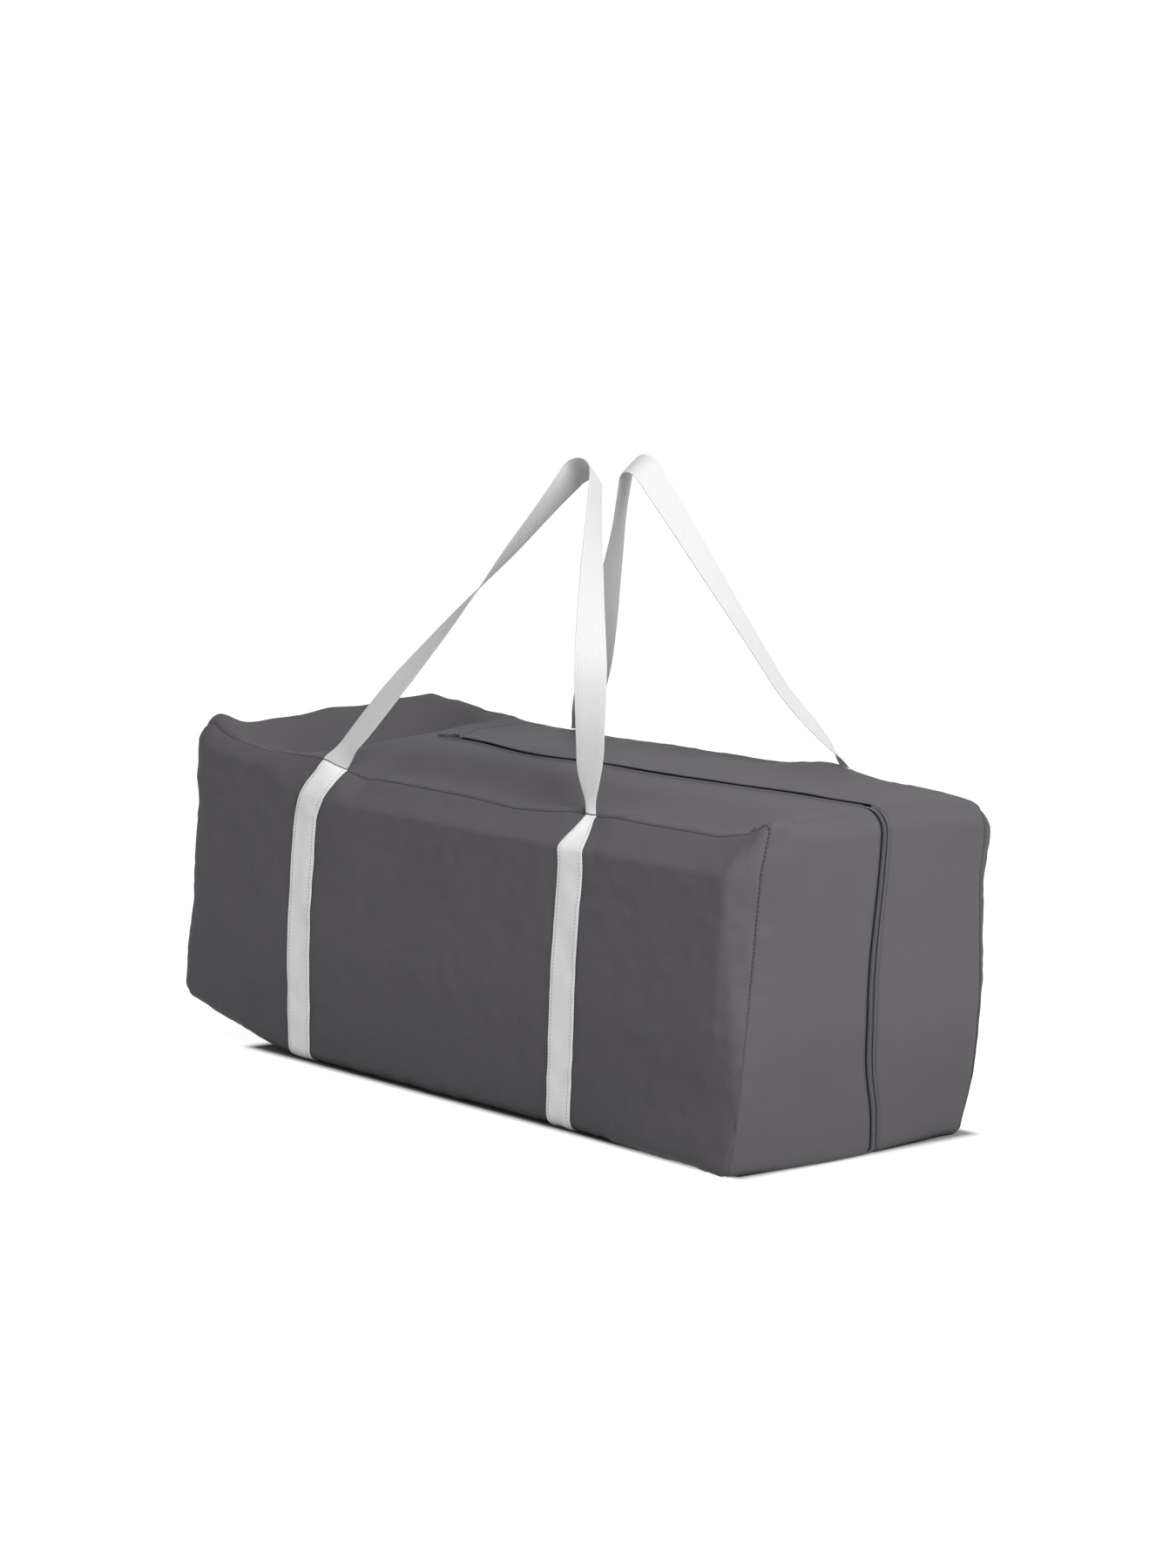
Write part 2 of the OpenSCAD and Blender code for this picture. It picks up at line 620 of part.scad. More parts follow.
// Corner housing: a block on the end of a post, with an ear for each of its two half rails
module corner(sy, sz) {
    a = post_at - housing_w / 2;
    e = rail_at - ear_w / 2;
    color(plastic_c)
        translate([frame_x0, 0, mid_z])
            mirror([0, sy < 0 ? 1 : 0, 0]) mirror([0, 0, sz < 0 ? 1 : 0])
                difference() {
                    union() {
                        translate([0, a, a]) cube([housing_l, housing_w, housing_w]);
                        translate([housing_l - ear_l, e, post_at - ear_w / 2])
                            cube([ear_l, a - e + 1, ear_w]);
                        translate([housing_l - ear_l, post_at - ear_w / 2, e])
                            cube([ear_l, ear_w, a - e + 1]);
                    }
                    translate([3, post_at, post_at]) rotate([0, 90, 0]) cylinder(d = post_d + 2 * clear, h = housing_l);
                    translate([housing_l - ear_l + 7, rail_at - slot / 2, post_at - slot / 2])
                        cube([ear_l, slot, slot]);
                    translate([housing_l - ear_l + 7, post_at - slot / 2, rail_at - slot / 2])
                        cube([ear_l, slot, slot]);
                    translate([rail_x0 - frame_x0 + pin_inset, rail_at, post_at])
                        cylinder(r = pin_hole_r, h = 2 * ear_w, center = true);
                    translate([rail_x0 - frame_x0 + pin_inset, post_at, rail_at])
                        rotate([90, 0, 0]) cylinder(r = pin_hole_r, h = 2 * ear_w, center = true);
                }
}
// Foot: a block on the other end of the post, with an arm for the base leg
module foot(sy, sz) {
    a = post_at - housing_w / 2;
    color(plastic_c)
        translate([foot_x0, 0, mid_z])
            mirror([0, sy < 0 ? 1 : 0, 0]) mirror([0, 0, sz < 0 ? 1 : 0])
                difference() {
                    union() {
                        translate([0, a, a]) cube([housing_l, housing_w, housing_w]);
                        translate([0, leg_at - leg_d / 2 - 2, leg_at - leg_d / 2 - 2])
                            cube([24, a - leg_at + leg_d / 2 + 6, a - leg_at + leg_d / 2 + 6]);
                    }
                    translate([-1, post_at, post_at]) rotate([0, 90, 0]) cylinder(d = post_d + 2 * clear, h = housing_l - 3);
                    translate([-1, leg_at, leg_at]) rotate([0, 90, 0]) cylinder(d = leg_d + 2 * clear, h = 21);
                }
}
module long_rail(sy, sz) {
    color(steel_c) at_bundle(rail_x0, sy * rail_at, sz * post_at) tube(long_rail_l, rail_d, "z");
}
module short_rail(sy, sz) {
    color(steel_c) at_bundle(rail_x0, sy * post_at, sz * rail_at) tube(short_rail_l, rail_d, "y");
}
// Centre latch: a block with two sockets side by side for the folded half rails
module latch() {
    span = 2 * rail_at + ear_w;
    difference() {
        translate([0, -span / 2, -ear_w / 2]) cube([latch_l, span, ear_w]);
        for (s = [-1, 1]) {
            translate([-1, s * rail_at - slot / 2, -slot / 2]) cube([latch_l / 2 + 1 + clear, slot, slot]);
            translate([latch_l / 2 - pin_inset, s * rail_at, 0])
                cylinder(r = pin_hole_r, h = 2 * ear_w, center = true);
        }
    }
}
module long_latch(sz) { color(plastic_c) at_bundle(long_latch_x, 0, sz * post_at) latch(); }
module short_latch(sy) {
    color(plastic_c) at_bundle(short_latch_x, sy * post_at, 0) rotate([90, 0, 0]) latch();
}

hub_l = 34;
hub_x = rail_x0 + 30;
leg_x0 = hub_x + 4;
leg_l = foot_x0 + 18 - leg_x0;
module leg(sy, sz) {
    color(steel_c)
        at_bundle(leg_x0, sy * leg_at, sz * leg_at)
            difference() {
                rotate([0, 90, 0]) cylinder(d = leg_d, h = leg_l);
                translate([-1, 0, 0]) rotate([0, 90, 0]) cylinder(d = leg_d - 2 * wall_t, h = leg_l + 2);
            }
}
module base_hub() {
    color(plastic_c)
        difference() {
            at_bundle(hub_x, 0, 0) rotate([0, 90, 0]) cylinder(r = leg_at + leg_d, h = hub_l);
            for (sy = [-1, 1], sz = [-1, 1])
                at_bundle(leg_x0 - clear, sy * leg_at, sz * leg_at)
                    rotate([0, 90, 0]) cylinder(d = leg_d + 2 * clear, h = hub_l);
        }
}

// All the pivot pins, through the ears and latches
module pivot_pins() {
    pin_l = ear_w + 1;
    ends = [rail_x0 + pin_inset, rail_x0 + long_rail_l - pin_inset];
    short_ends = [rail_x0 + pin_inset, rail_x0 + short_rail_l - pin_inset];
    color(metal_c)
        for (s = [-1, 1], t = [-1, 1]) {
            for (x = ends)
                at_bundle(x, s * rail_at, t * post_at) cylinder(r = pin_r, h = pin_l, center = true);
            for (x = short_ends)
                at_bundle(x, t * post_at, s * rail_at)
                    rotate([90, 0, 0]) cylinder(r = pin_r, h = pin_l, center = true);
        }
}

// Liner: the play yard's cloth and mesh walls, gathered in pleats between frame and mattress
liner_out = [top_pad_w / 2 - board_t, wrap_h / 2 - panel_t - board_t - clear];
liner_in = post_at + housing_w / 2 + clear;
liner_inset = 34;
liner_x0 = frame_x0 + liner_inset;
liner_l = foot_x0 + housing_l - 10 - liner_x0;
pleat_bend = 3.6;
function on_box(half, a) = let (c = abs(cos(a)), s = abs(sin(a)))
    min(half[0] / max(c, 0.001), half[1] / max(s, 0.001));
module liner() {
    step = 180 / pleats;
    function spoke(k) = k % 2 == 0 ? on_box(liner_out - [liner_t, liner_t], k * step)
        : on_box([liner_in + liner_t, liner_in + liner_t], k * step);
    function fold(k, r, shift) = let (a = k * step)
        [r * cos(a) - shift * sin(a), r * sin(a) + shift * cos(a)];
    half_t = liner_t / 2;
    outline = flat([for (k = [0:2 * pleats - 1]) k % 2 == 0
        ? [fold(k, spoke(k) + half_t, -half_t), fold(k, spoke(k) + half_t, half_t)]
        : [fold(k, spoke(k) + pleat_bend, 0)]]);
    hollow = flat([for (k = [0:2 * pleats - 1]) k % 2 == 0
        ? [fold(k, spoke(k) - pleat_bend, 0)]
        : [fold(k, spoke(k) - half_t, -half_t), fold(k, spoke(k) - half_t, half_t)]]);
    color(mesh_c)
        translate([0, 0, mid_z])
            along_top(liner_x0, liner_x0 + liner_l)
                difference() {
                    polygon(outline);
                    polygon(hollow);
                }
}

front_side_panel();
back_side_panel();
base_panel();
closed_end_panel();
zip_end_front();
zip_end_back();
top_flap_front();
top_flap_back();
top_zip_front();
top_zip_back();
end_zip_front();
end_zip_back();
zip_slider();
zip_pull();
front_strap_closed();
front_strap_zip();
back_strap_closed();
back_strap_zip();
front_handle();
back_handle();
mattress_front();
mattress_back();
mattress_top();
mattress_bottom();
mattress_boards();
closure_strap_closed();
closure_strap_zip();
post(-1, -1);  // post_front_low
post(-1, 1);  // post_front_high
post(1, -1);  // post_back_low
post(1, 1);  // post_back_high
corner(-1, -1);  // corner_front_low
corner(-1, 1);  // corner_front_high
corner(1, -1);  // corner_back_low
corner(1, 1);  // corner_back_high
foot(-1, -1);  // foot_front_low
foot(-1, 1);  // foot_front_high
foot(1, -1);  // foot_back_low
foot(1, 1);  // foot_back_high
long_rail(-1, -1);  // long_rail_front_low
long_rail(-1, 1);  // long_rail_front_high
long_rail(1, -1);  // long_rail_back_low
long_rail(1, 1);  // long_rail_back_high
short_rail(-1, -1);  // short_rail_front_low
short_rail(-1, 1);  // short_rail_front_high
short_rail(1, -1);  // short_rail_back_low
short_rail(1, 1);  // short_rail_back_high
long_latch(-1);  // long_latch_low
long_latch(1);  // long_latch_high
short_latch(-1);  // short_latch_front
short_latch(1);  // short_latch_back
leg(-1, -1);  // leg_front_low
leg(-1, 1);  // leg_front_high
leg(1, -1);  // leg_back_low
leg(1, 1);  // leg_back_high
base_hub();
pivot_pins();
liner();
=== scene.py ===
# %% [markdown]
# # A folding play yard, packed in its carry bag
# The real object is a zipped bag of coated polyester. A folded play yard and its
# wrapped mattress fill it, two loops of webbing carry it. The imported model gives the
# hard facts: how large each part is and how it moves. This lesson dresses it: every
# piece of cloth gets its own mesh, and every surface a material made of nodes.

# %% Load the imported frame
import math
import bmesh
import bpy
import numpy as np
from mathutils import Matrix, Vector


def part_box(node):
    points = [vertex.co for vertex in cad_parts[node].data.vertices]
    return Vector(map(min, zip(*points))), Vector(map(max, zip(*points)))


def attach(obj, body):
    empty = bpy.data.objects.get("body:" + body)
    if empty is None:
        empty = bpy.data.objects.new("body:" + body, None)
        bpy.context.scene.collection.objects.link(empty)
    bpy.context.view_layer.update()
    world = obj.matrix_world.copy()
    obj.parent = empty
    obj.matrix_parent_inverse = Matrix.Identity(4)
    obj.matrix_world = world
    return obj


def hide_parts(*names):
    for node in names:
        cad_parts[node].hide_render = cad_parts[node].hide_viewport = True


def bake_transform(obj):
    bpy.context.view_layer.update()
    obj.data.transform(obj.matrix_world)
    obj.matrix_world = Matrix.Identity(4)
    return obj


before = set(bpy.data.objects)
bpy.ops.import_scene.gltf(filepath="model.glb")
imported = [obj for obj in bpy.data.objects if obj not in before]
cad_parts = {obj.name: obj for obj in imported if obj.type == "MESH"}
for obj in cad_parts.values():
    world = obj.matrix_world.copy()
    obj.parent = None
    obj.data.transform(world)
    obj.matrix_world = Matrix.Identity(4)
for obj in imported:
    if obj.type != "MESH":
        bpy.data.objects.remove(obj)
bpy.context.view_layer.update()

# %% [markdown]
# ## The sizes that everything shares
# A bag is drawn from a few sizes: its length, width and height, where its seams lie,
# and how its slack end sags. They are written once, in metres, and the same few
# functions of them place every panel, stitch and strap. That keeps the pieces together.

# %% Sizes of the bag
half_l, half_w = 0.370, 0.164
# Height at the front seam, then how much more the middle and the back seam have
front_h, crown_rise, back_rise = 0.295, 0.005, 0.020
seam_in = 0.014  # how far the seams lie in from the faces
seam_y = half_w - seam_in
# Rounds of the zipped end's top, of the closed end's edges and of the zipped end's foot
end_r, low_r, foot_r = 0.022, 0.018, 0.008
cloth_t = 0.0009
# The slack end: its length, how far its foot lifts, its top sags, its edge stands up
slack_l, slack_lift, slack_sag, end_ridge = 0.165, 0.032, 0.026, 0.013
zip_x0, zip_x1 = -0.1756, 0.3456
channel = 0.0052  # half the gap between the two cloth edges along the zip
web_w, web_t = 0.030, 0.0014
heart = (0, 0, 0.15)  # a point deep inside, which tells a sheet's face from its lining
SIDES = ((-1, "front"), (1, "back"))
print("bag", 2 * half_l, "x", 2 * half_w, "m, top at", front_h)

# %% Small curves used all over
def unit(t):
    return np.clip(t, 0.0, 1.0)


def ease(t):
    u = unit(t)
    return u * u * (3 - 2 * u)


def swell(t):
    u = unit(t)
    return 16 * u * u * (1 - u) ** 2


def near(d, width):
    return np.exp(-(d / width) ** 2)


def slack(x):
    return unit((slack_l - half_l - x) / slack_l)


def cross_top(y):
    u = y / seam_y
    return front_h + crown_rise * (1 - u * u) + back_rise * (u + 1) / 2


def top_z(x, y):
    s, inside = slack(x), half_w - np.abs(y)
    return (cross_top(y) - slack_sag * swell(s) * ease(inside / 0.070)
            + end_ridge * ease(1.6 * s - 0.6) * ease(inside / 0.025))


def base_z(x):
    x = np.clip(x, low_r - half_l, half_l - foot_r)
    end_share = unit((slack_l - half_l - x) / (slack_l - low_r))
    end_step = slack_lift * (1 - slack(low_r - half_l) ** 1.6)
    return slack_lift * slack(x) ** 1.6 + end_step * end_share


def rim_top(x, y):
    return top_z(np.clip(x, low_r - half_l, half_l), y)


def end_round_at(y):
    """Radius of the zipped end's top edge, which is 14 mm less at the front seam's corner."""
    return end_r - 0.014 * float(near(y + seam_y, 0.035))


print("top at the zip's start", round(float(top_z(zip_x0, 0)), 4))

# %% [markdown]
# ## Camera, floor and light
# The camera stands to the right of the front and a little above the top, far away with
# a long lens, so the bag's edges stay nearly parallel. It is tilted by a few degrees.
# Light comes from a big soft window above and to the right, and from a white room that
# is brightest near the horizon.

# %% Camera
AZIMUTH, ELEVATION, ROLL = (math.radians(v) for v in (43.36, 7.05, 3.41))
LOOK_AT, DISTANCE = Vector((0.0138, 0.0, 0.2882)), 3.488
back = Vector((math.sin(AZIMUTH) * math.cos(ELEVATION),
               -math.cos(AZIMUTH) * math.cos(ELEVATION), math.sin(ELEVATION)))
level = Vector((math.cos(AZIMUTH), math.sin(AZIMUTH), 0))
upright = back.cross(level)
right = level * math.cos(ROLL) + upright * math.sin(ROLL)
up = upright * math.cos(ROLL) - level * math.sin(ROLL)
camera = bpy.data.objects.new("camera", bpy.data.cameras.new("camera"))
bpy.context.scene.collection.objects.link(camera)
camera.matrix_world = Matrix.Translation(LOOK_AT + back * DISTANCE) @ Matrix(
    (right, up, back)).transposed().to_4x4()
camera.data.lens, camera.data.sensor_width = 84.0, 36.0
camera.data.clip_end = 50.0
bpy.context.scene.camera = camera
bpy.context.scene.view_settings.view_transform = "Standard"
print("camera at", [round(v, 3) for v in camera.location])


# %% Lamps and room
def lamp(name, place, aim, size, power):
    data = bpy.data.lights.new(name, "AREA")
    data.shape, data.size, data.size_y, data.energy = "RECTANGLE", size[0], size[1], power
    item = bpy.data.objects.new(name, data)
    bpy.context.scene.collection.objects.link(item)
    item.location = place
    item.rotation_euler = (Vector(aim) - Vector(place)).to_track_quat("-Z", "Y").to_euler()
    return item


lamp("window_right", (2.55, -0.72, 2.35), heart, (1.8, 1.8), 205)
room = bpy.data.worlds.new("white_room")
bpy.context.scene.world = room
room.use_nodes = True
nodes, links = room.node_tree.nodes, room.node_tree.links
sky = {kind: nodes.new("ShaderNode" + kind) for kind in ("TexCoord", "SeparateXYZ", "MapRange", "Mix")}
sky["Mix"].data_type = "RGBA"
for socket, value in (("From Min", 0.095), ("From Max", 0.40)):
    sky["MapRange"].inputs[socket].default_value = value
for socket, glow in ((6, 1.10), (7, 0.70)):
    sky["Mix"].inputs[socket].default_value = (glow, glow, glow, 1)
links.new(sky["TexCoord"].outputs["Generated"], sky["SeparateXYZ"].inputs[0])
links.new(sky["SeparateXYZ"].outputs["Z"], sky["MapRange"].inputs["Value"])
links.new(sky["MapRange"].outputs["Result"], sky["Mix"].inputs[0])
links.new(sky["Mix"].outputs[2], nodes["Background"].inputs["Color"])
print("lamps:", len(bpy.data.lights))

# %% [markdown]
# ## Materials as sums
# A material is a graph of nodes, and most of a graph is arithmetic. `Value` wraps one
# socket and lets Python's own operators add the Math nodes, so a weave is written as
# one line of maths. Anything else is one call of `node`.


# %% A small language for shaders
class Value:
    """A number that varies over a surface: arithmetic on it adds Math nodes."""

    def __init__(self, sheet, socket):
        self.sheet, self.socket = sheet, socket

    def _math(self, operation, *inputs):
        return self.sheet.node("Math", {"operation": operation}, dict(enumerate(inputs)))

    def __add__(self, other): return self._math("ADD", self, other)
    def __radd__(self, other): return self._math("ADD", other, self)
    def __sub__(self, other): return self._math("SUBTRACT", self, other)
    def __rsub__(self, other): return self._math("SUBTRACT", other, self)
    def __mul__(self, other): return self._math("MULTIPLY", self, other)
    def __rmul__(self, other): return self._math("MULTIPLY", other, self)
    def __abs__(self): return self._math("ABSOLUTE", self)

    def sine(self): return self._math("SINE", self)
    def floor(self): return self._math("FLOOR", self)
    def modulo(self, other): return self._math("FLOORED_MODULO", self, other)
    def smallest(self, other): return self._math("MINIMUM", self, other)
    def largest(self, other): return self._math("MAXIMUM", self, other)
    def root(self): return self._math("SQRT", self)


class Finish:
    """One material. node() adds any node: its type, its settings, then its sockets."""

    def __init__(self, name):
        self.material = bpy.data.materials.new(name)
        self.material.use_nodes = True
        self.tree = self.material.node_tree
        self.shader = self.tree.nodes["Principled BSDF"]

    def node(self, kind, settings=None, sockets=None, out=0):
        made = self.tree.nodes.new("ShaderNode" + kind)
        for name, value in (settings or {}).items():
            setattr(made, name, value)
        for key, value in (sockets or {}).items():
            self.feed(made.inputs[key], value)
        return Value(self, made.outputs[out])

    def feed(self, socket, value):
        if isinstance(value, Value):
            self.tree.links.new(value.socket, socket)
        elif isinstance(value, tuple) and len(value) == 3 and socket.type == "RGBA":
            socket.default_value = (*value, 1)
        else:
            socket.default_value = value

    def set(self, **sockets):
        for name, value in sockets.items():
            self.feed(self.shader.inputs[name.replace("_", " ")], value)
        return self

    def place(self, kind="UV"):
        return self.node("TexCoord", out={"Generated": 0, "UV": 2, "Object": 3}[kind])

    def split(self, vector):
        first = self.node("SeparateXYZ", sockets={0: vector})
        outs = first.socket.node.outputs
        return [Value(self, outs[i]) for i in range(3)]

    def noise(self, where, size, detail=2.0, rough=0.5):
        return self.node("TexNoise", sockets={"Vector": where, "Scale": 1 / size,
                                              "Detail": detail, "Roughness": rough})

    def mix(self, share, low, high):
        made = self.tree.nodes.new("ShaderNodeMix")
        made.data_type = "RGBA"
        for socket, value in zip((made.inputs[0], made.inputs[6], made.inputs[7]),
                                 (share, low, high)):
            self.feed(socket, value)
        return Value(self, made.outputs[2])

    def bump(self, height, depth, under=None):
        sockets = {"Height": height, "Distance": depth, "Strength": 1.0}
        if under is not None:
            sockets["Normal"] = under
        return self.node("Bump", sockets=sockets)


def tint(*levels):
    """A linear colour from display levels of 0 to 255."""
    shares = [level / 255 for level in levels]
    return tuple(c / 12.92 if c < 0.04045 else ((c + 0.055) / 1.055) ** 2.4 for c in shares)


def grey(level):
    return tint(level, level, level)


print("middle grey is", round(grey(128)[0], 3), "in linear light")

# %% [markdown]
# ## Cloth finishes
# The bag's cloth is a fine plain weave with a faint sheen. Its threads are half a
# millimetre apart, too small to model, so the weave is a bump: two sets of ribs, one
# along each direction of the sheet, that take turns to lie on top, with a little painted
# shade in the hollows between them. Broad, soft noise keeps a large plain panel from
# looking like painted card. Towards the floor the bag's cloth gets a painted shade.

# %% Weave and cloth
def weave(finish, where, pitch):
    """Height of a plain weave, from 0 to 1, on a sheet whose UV is in metres."""
    u, v, _ = finish.split(where)
    across, along = u * (1 / pitch), v * (1 / pitch)
    over = (across.floor() + along.floor()).modulo(2.0)
    weft = abs((across * math.pi).sine())
    warp = abs((along * math.pi).sine())
    return over * weft + (1 - over) * warp


def cloth(name, shade, pitch=0.0006, depth=0.00006, rough=0.58, foot=0.0, blotch=0.08, painted_shade_height=0.13):
    """Woven cloth, with a painted shade near the floor: darker by the share foot there, gone above the
    height fade.
    """
    made = Finish(name)
    threads = weave(made, made.place(), pitch)
    broad = made.noise(made.place("Object"), 0.09, 3.0)
    fibre = made.noise(made.place("Object"), 0.0011, 2.0, 0.7)
    # Painted shade: the weave's hollows are a little darker; broad and fibre noise vary the tone at
    # random.
    share = broad * 0.55 + fibre * 0.25 + threads * 0.20
    # Painted shade: below this height the colour darkens towards the floor, for the shade low on the
    # bag's sides.
    height = (made.split(made.place("Object"))[2] * (1 / painted_shade_height)).smallest(1.0).largest(0.0)
    low, high = (tuple(c * (1 + tone) * (1 - foot) for c in shade) for tone in (-blotch, blotch))
    dark, light = (tuple(c * (1 + tone) for c in shade) for tone in (-blotch, blotch))
    made.set(Base_Color=made.mix(height, made.mix(share, low, high), made.mix(share, dark, light)),
             Roughness=rough - 0.08 + fibre * 0.10 + threads * 0.06,
             Sheen_Weight=0.02, Sheen_Roughness=0.45, Specular_IOR_Level=0.12)
    soft = made.bump(made.noise(made.place("Object"), 0.014, 2.0), 0.00035)
    made.set(Normal=made.bump(threads, depth, soft))
    return made.material


# The bag's cloth gets a painted shade near the floor, 24 % darker at the foot.
bag_cloth = cloth("bag_polyester", tint(66, 64, 67), foot=0.24)
mattress_cloth = cloth("mattress_cover_cloth", tint(120, 118, 122), 0.0009, 0.0001, 0.75)
liner_cloth = cloth("liner_mesh_cloth", tint(132, 130, 134), 0.0016, 0.0003, 0.7)
tape_cloth = cloth("zip_tape_cloth", tint(26, 25, 27), 0.0008, 0.0001, 0.7)
print("cloths:", [m.name for m in bpy.data.materials])

# %% [markdown]
# ## Webbing
# Strap webbing is woven in one narrow piece: ribs run across it in a few columns, and
# each edge is a tight smooth cord. Painted shade darkens the pale yarn between the ribs
# and in the grooves, and its tone varies at random.

# %% Webbing finish
def webbing(name, shade, width, columns=9, pitch=0.0014, painted_groove_shade_and_tone=0.07):
    made = Finish(name)
    u, v, _ = made.split(made.place())
    lane = (u * (columns / width)).floor()
    ribs = abs(((v * (1 / pitch) + lane * 0.5) * math.pi).sine())
    groove = abs((u * (columns * math.pi / width)).sine())
    fibre = made.noise(made.place("Object"), 0.0009, 2.0, 0.7)
    broad = made.noise(made.place("Object"), 0.05, 2.0)
    height = ribs * 0.6 + groove.smallest(0.5) * 0.6
    # Painted shade: darker between the ribs and in the grooves between the columns; fibre and broad noise
    # vary the tone at random.
    share = ribs * 0.35 + groove.smallest(0.5) * 0.5 + fibre * 0.25 + broad * 0.15
    dark = tuple(c * (1 - 2 * painted_groove_shade_and_tone) for c in shade)
    made.set(Base_Color=made.mix(share, dark, shade), Roughness=0.62 + fibre * 0.2,
             Sheen_Weight=0.06, Sheen_Roughness=0.5, Specular_IOR_Level=0.2)
    made.set(Normal=made.bump(height, 0.00022))
    return made.material


pale_web = webbing("pale_webbing", tint(181, 181, 182), web_w)
# The handles are the same webbing as the straps; their darker copy is painted shade, to tone down the
# light they catch.
handle_web_painted_shade = webbing("handle_webbing", tint(163, 163, 164), web_w)
black_web = webbing("closure_webbing", tint(52, 51, 54), 0.038, 11)
print("webbing pitch 1.4 mm")

# %% [markdown]
# ## Thread, coil, metal, plastic and board
# Small hard parts get a finish of their own too: brushed gunmetal for the slider,
# glossy nylon for the coil, painted tube, grained plastic, pressed board.

# %% Plain finishes with their own grain
def solid(name, shade, rough, metal=0.0, grain=0.0012, depth=0.00003, spread=0.08, stretch=1.0):
    made = Finish(name)
    where = made.node("Mapping", sockets={"Vector": made.place("Object"),
                                          "Scale": (stretch, 1.0, 1.0)})
    fine = made.noise(where, grain, 3.0, 0.6)
    broad = made.noise(made.place("Object"), 0.03, 2.0)
    dark = tuple(c * (1 - spread) for c in shade)
    light = tuple(min(1.0, c * (1 + spread)) for c in shade)
    made.set(Base_Color=made.mix(fine * 0.6 + broad * 0.4, dark, light), Metallic=metal,
             Roughness=rough - 0.06 + fine * 0.12 + broad * 0.05)
    made.set(Normal=made.bump(fine, depth))
    return made.material


coil_nylon = solid("zip_coil_nylon", tint(54, 53, 56), 0.32, 0.0, 0.0008, 0.00001)
gunmetal = solid("slider_gunmetal", tint(92, 90, 94), 0.34, 0.9, 0.0006, 0.00001, 0.1, 0.2)
dark_thread = solid("bag_thread", tint(26, 25, 27), 0.7, 0.0, 0.0005, 0.00002)
pale_thread = solid("strap_thread", tint(120, 120, 123), 0.7, 0.0, 0.0005, 0.00002)
tube_paint = solid("tube_grey_paint", tint(150, 151, 154), 0.38, 0.15, 0.002, 0.00002, 0.05)
black_plastic = solid("grained_plastic", tint(40, 40, 43), 0.5, 0.0, 0.0009, 0.00005, 0.1)
pin_metal = solid("pin_bright_steel", tint(170, 170, 172), 0.28, 1.0, 0.0008, 0.00001, 0.08, 0.2)
hardboard = solid("pressed_board", tint(150, 122, 88), 0.8, 0.0, 0.0016, 0.0001, 0.16, 0.4)
print("finishes:", len(bpy.data.materials))

# %% [markdown]
# ## The floor
# A plain pale sheet, far larger than the view. It is stage, not part of the object.

# %% Floor
def glowing_floor(foot_x0=-0.262, foot_x1=0.372, foot_y=0.160, rim0=0.001, rim1=0.016):
    """Pale paint that glows softly and evenly, except in a narrow rim round the bag's foot, where a
    painted contact shadow takes the glow away.
    """
    made = Finish("pale_floor")
    x, y, _ = made.split(made.place("Object"))
    past_end = (abs(x - (foot_x0 + foot_x1) / 2) - (foot_x1 - foot_x0) / 2).largest(0.0)
    past_side = (abs(y) - foot_y).largest(0.0)
    away = (past_end * past_end + past_side * past_side).root()
    # Painted shadow: the glow is off within rim0 of the foot and full again at rim1.
    share = (away - rim0) * (1 / (rim1 - rim0))
    grain = made.noise(made.place("Object"), 0.02, 2.0)
    made.set(Base_Color=made.mix(grain, grey(100), grey(104)), Roughness=0.85 + grain * 0.08,
             Emission_Color=made.mix(share.largest(0.0).smallest(1.0), grey(0), grey(255)))
    made.shader.inputs["Emission Strength"].default_value = 0.93
    return made.material


def mesh_object(name, points, faces, uv=None, finish=None):
    mesh = bpy.data.meshes.new(name)
    mesh.from_pydata([tuple(p) for p in points], [], [tuple(f) for f in faces])
    if uv is not None:
        layer = mesh.uv_layers.new(name="sheet")
        corners = np.empty(len(mesh.loops), int)
        mesh.loops.foreach_get("vertex_index", corners)
        layer.data.foreach_set("uv", np.asarray(uv, np.float32)[corners].ravel())
    mesh.polygons.foreach_set("use_smooth", np.full(len(mesh.polygons), True))
    item = bpy.data.objects.new(name, mesh)
    bpy.context.scene.collection.objects.link(item)
    if finish is not None:
        mesh.materials.append(finish)
    return item


floor_half = 40.0
floor = mesh_object("floor", [(x * floor_half, y * floor_half, 0)
                              for x, y in ((-1, -1), (1, -1), (1, 1), (-1, 1))],
                    [(0, 1, 2, 3)], finish=glowing_floor())
floor.location.z = -0.0006
print("floor", 2 * floor_half, "m across")

# %% [markdown]
# ## How a filled bag differs from its pattern
# The panels' pattern is plain: flat sides, rounded edges. Filling it makes the sides
# swell, the seams pull in, and the cloth pucker along every line of stitches. `dress`
# moves any point of the plain shape to its place on the filled bag. Panels, stitches
# and straps all pass through it, so what is sewn together stays together.

# %% Repeatable noise
def noise(points, size, seed):
    """Smooth noise from -1 to 1 at points, the same on every run."""
    q = points / size + seed * 7.31
    cell = np.floor(q).astype(np.int64)
    f = q - cell
    f = f * f * (3 - 2 * f)
    total = np.zeros(len(points))
    for corner in np.ndindex(2, 2, 2):
        c = cell + np.array(corner)
        h = (c[:, 0] * 73856093) ^ (c[:, 1] * 19349663) ^ (c[:, 2] * 83492791) ^ (seed * 2654435)
        h = ((h & 0xFFFFFFF) * 1103515245 + 12345) & 0x7FFFFFFF
        h = ((h >> 7) * 69069 + 1) & 0x7FFFFFF
        weight = np.prod(np.where(np.array(corner) == 1, f, 1 - f), axis=1)
        total += weight * (h / 0x7FFFFFF * 2 - 1)
    return total


print("noise", noise(np.array([[0.1, 0.2, 0.3]]), 0.05, 1).round(4))


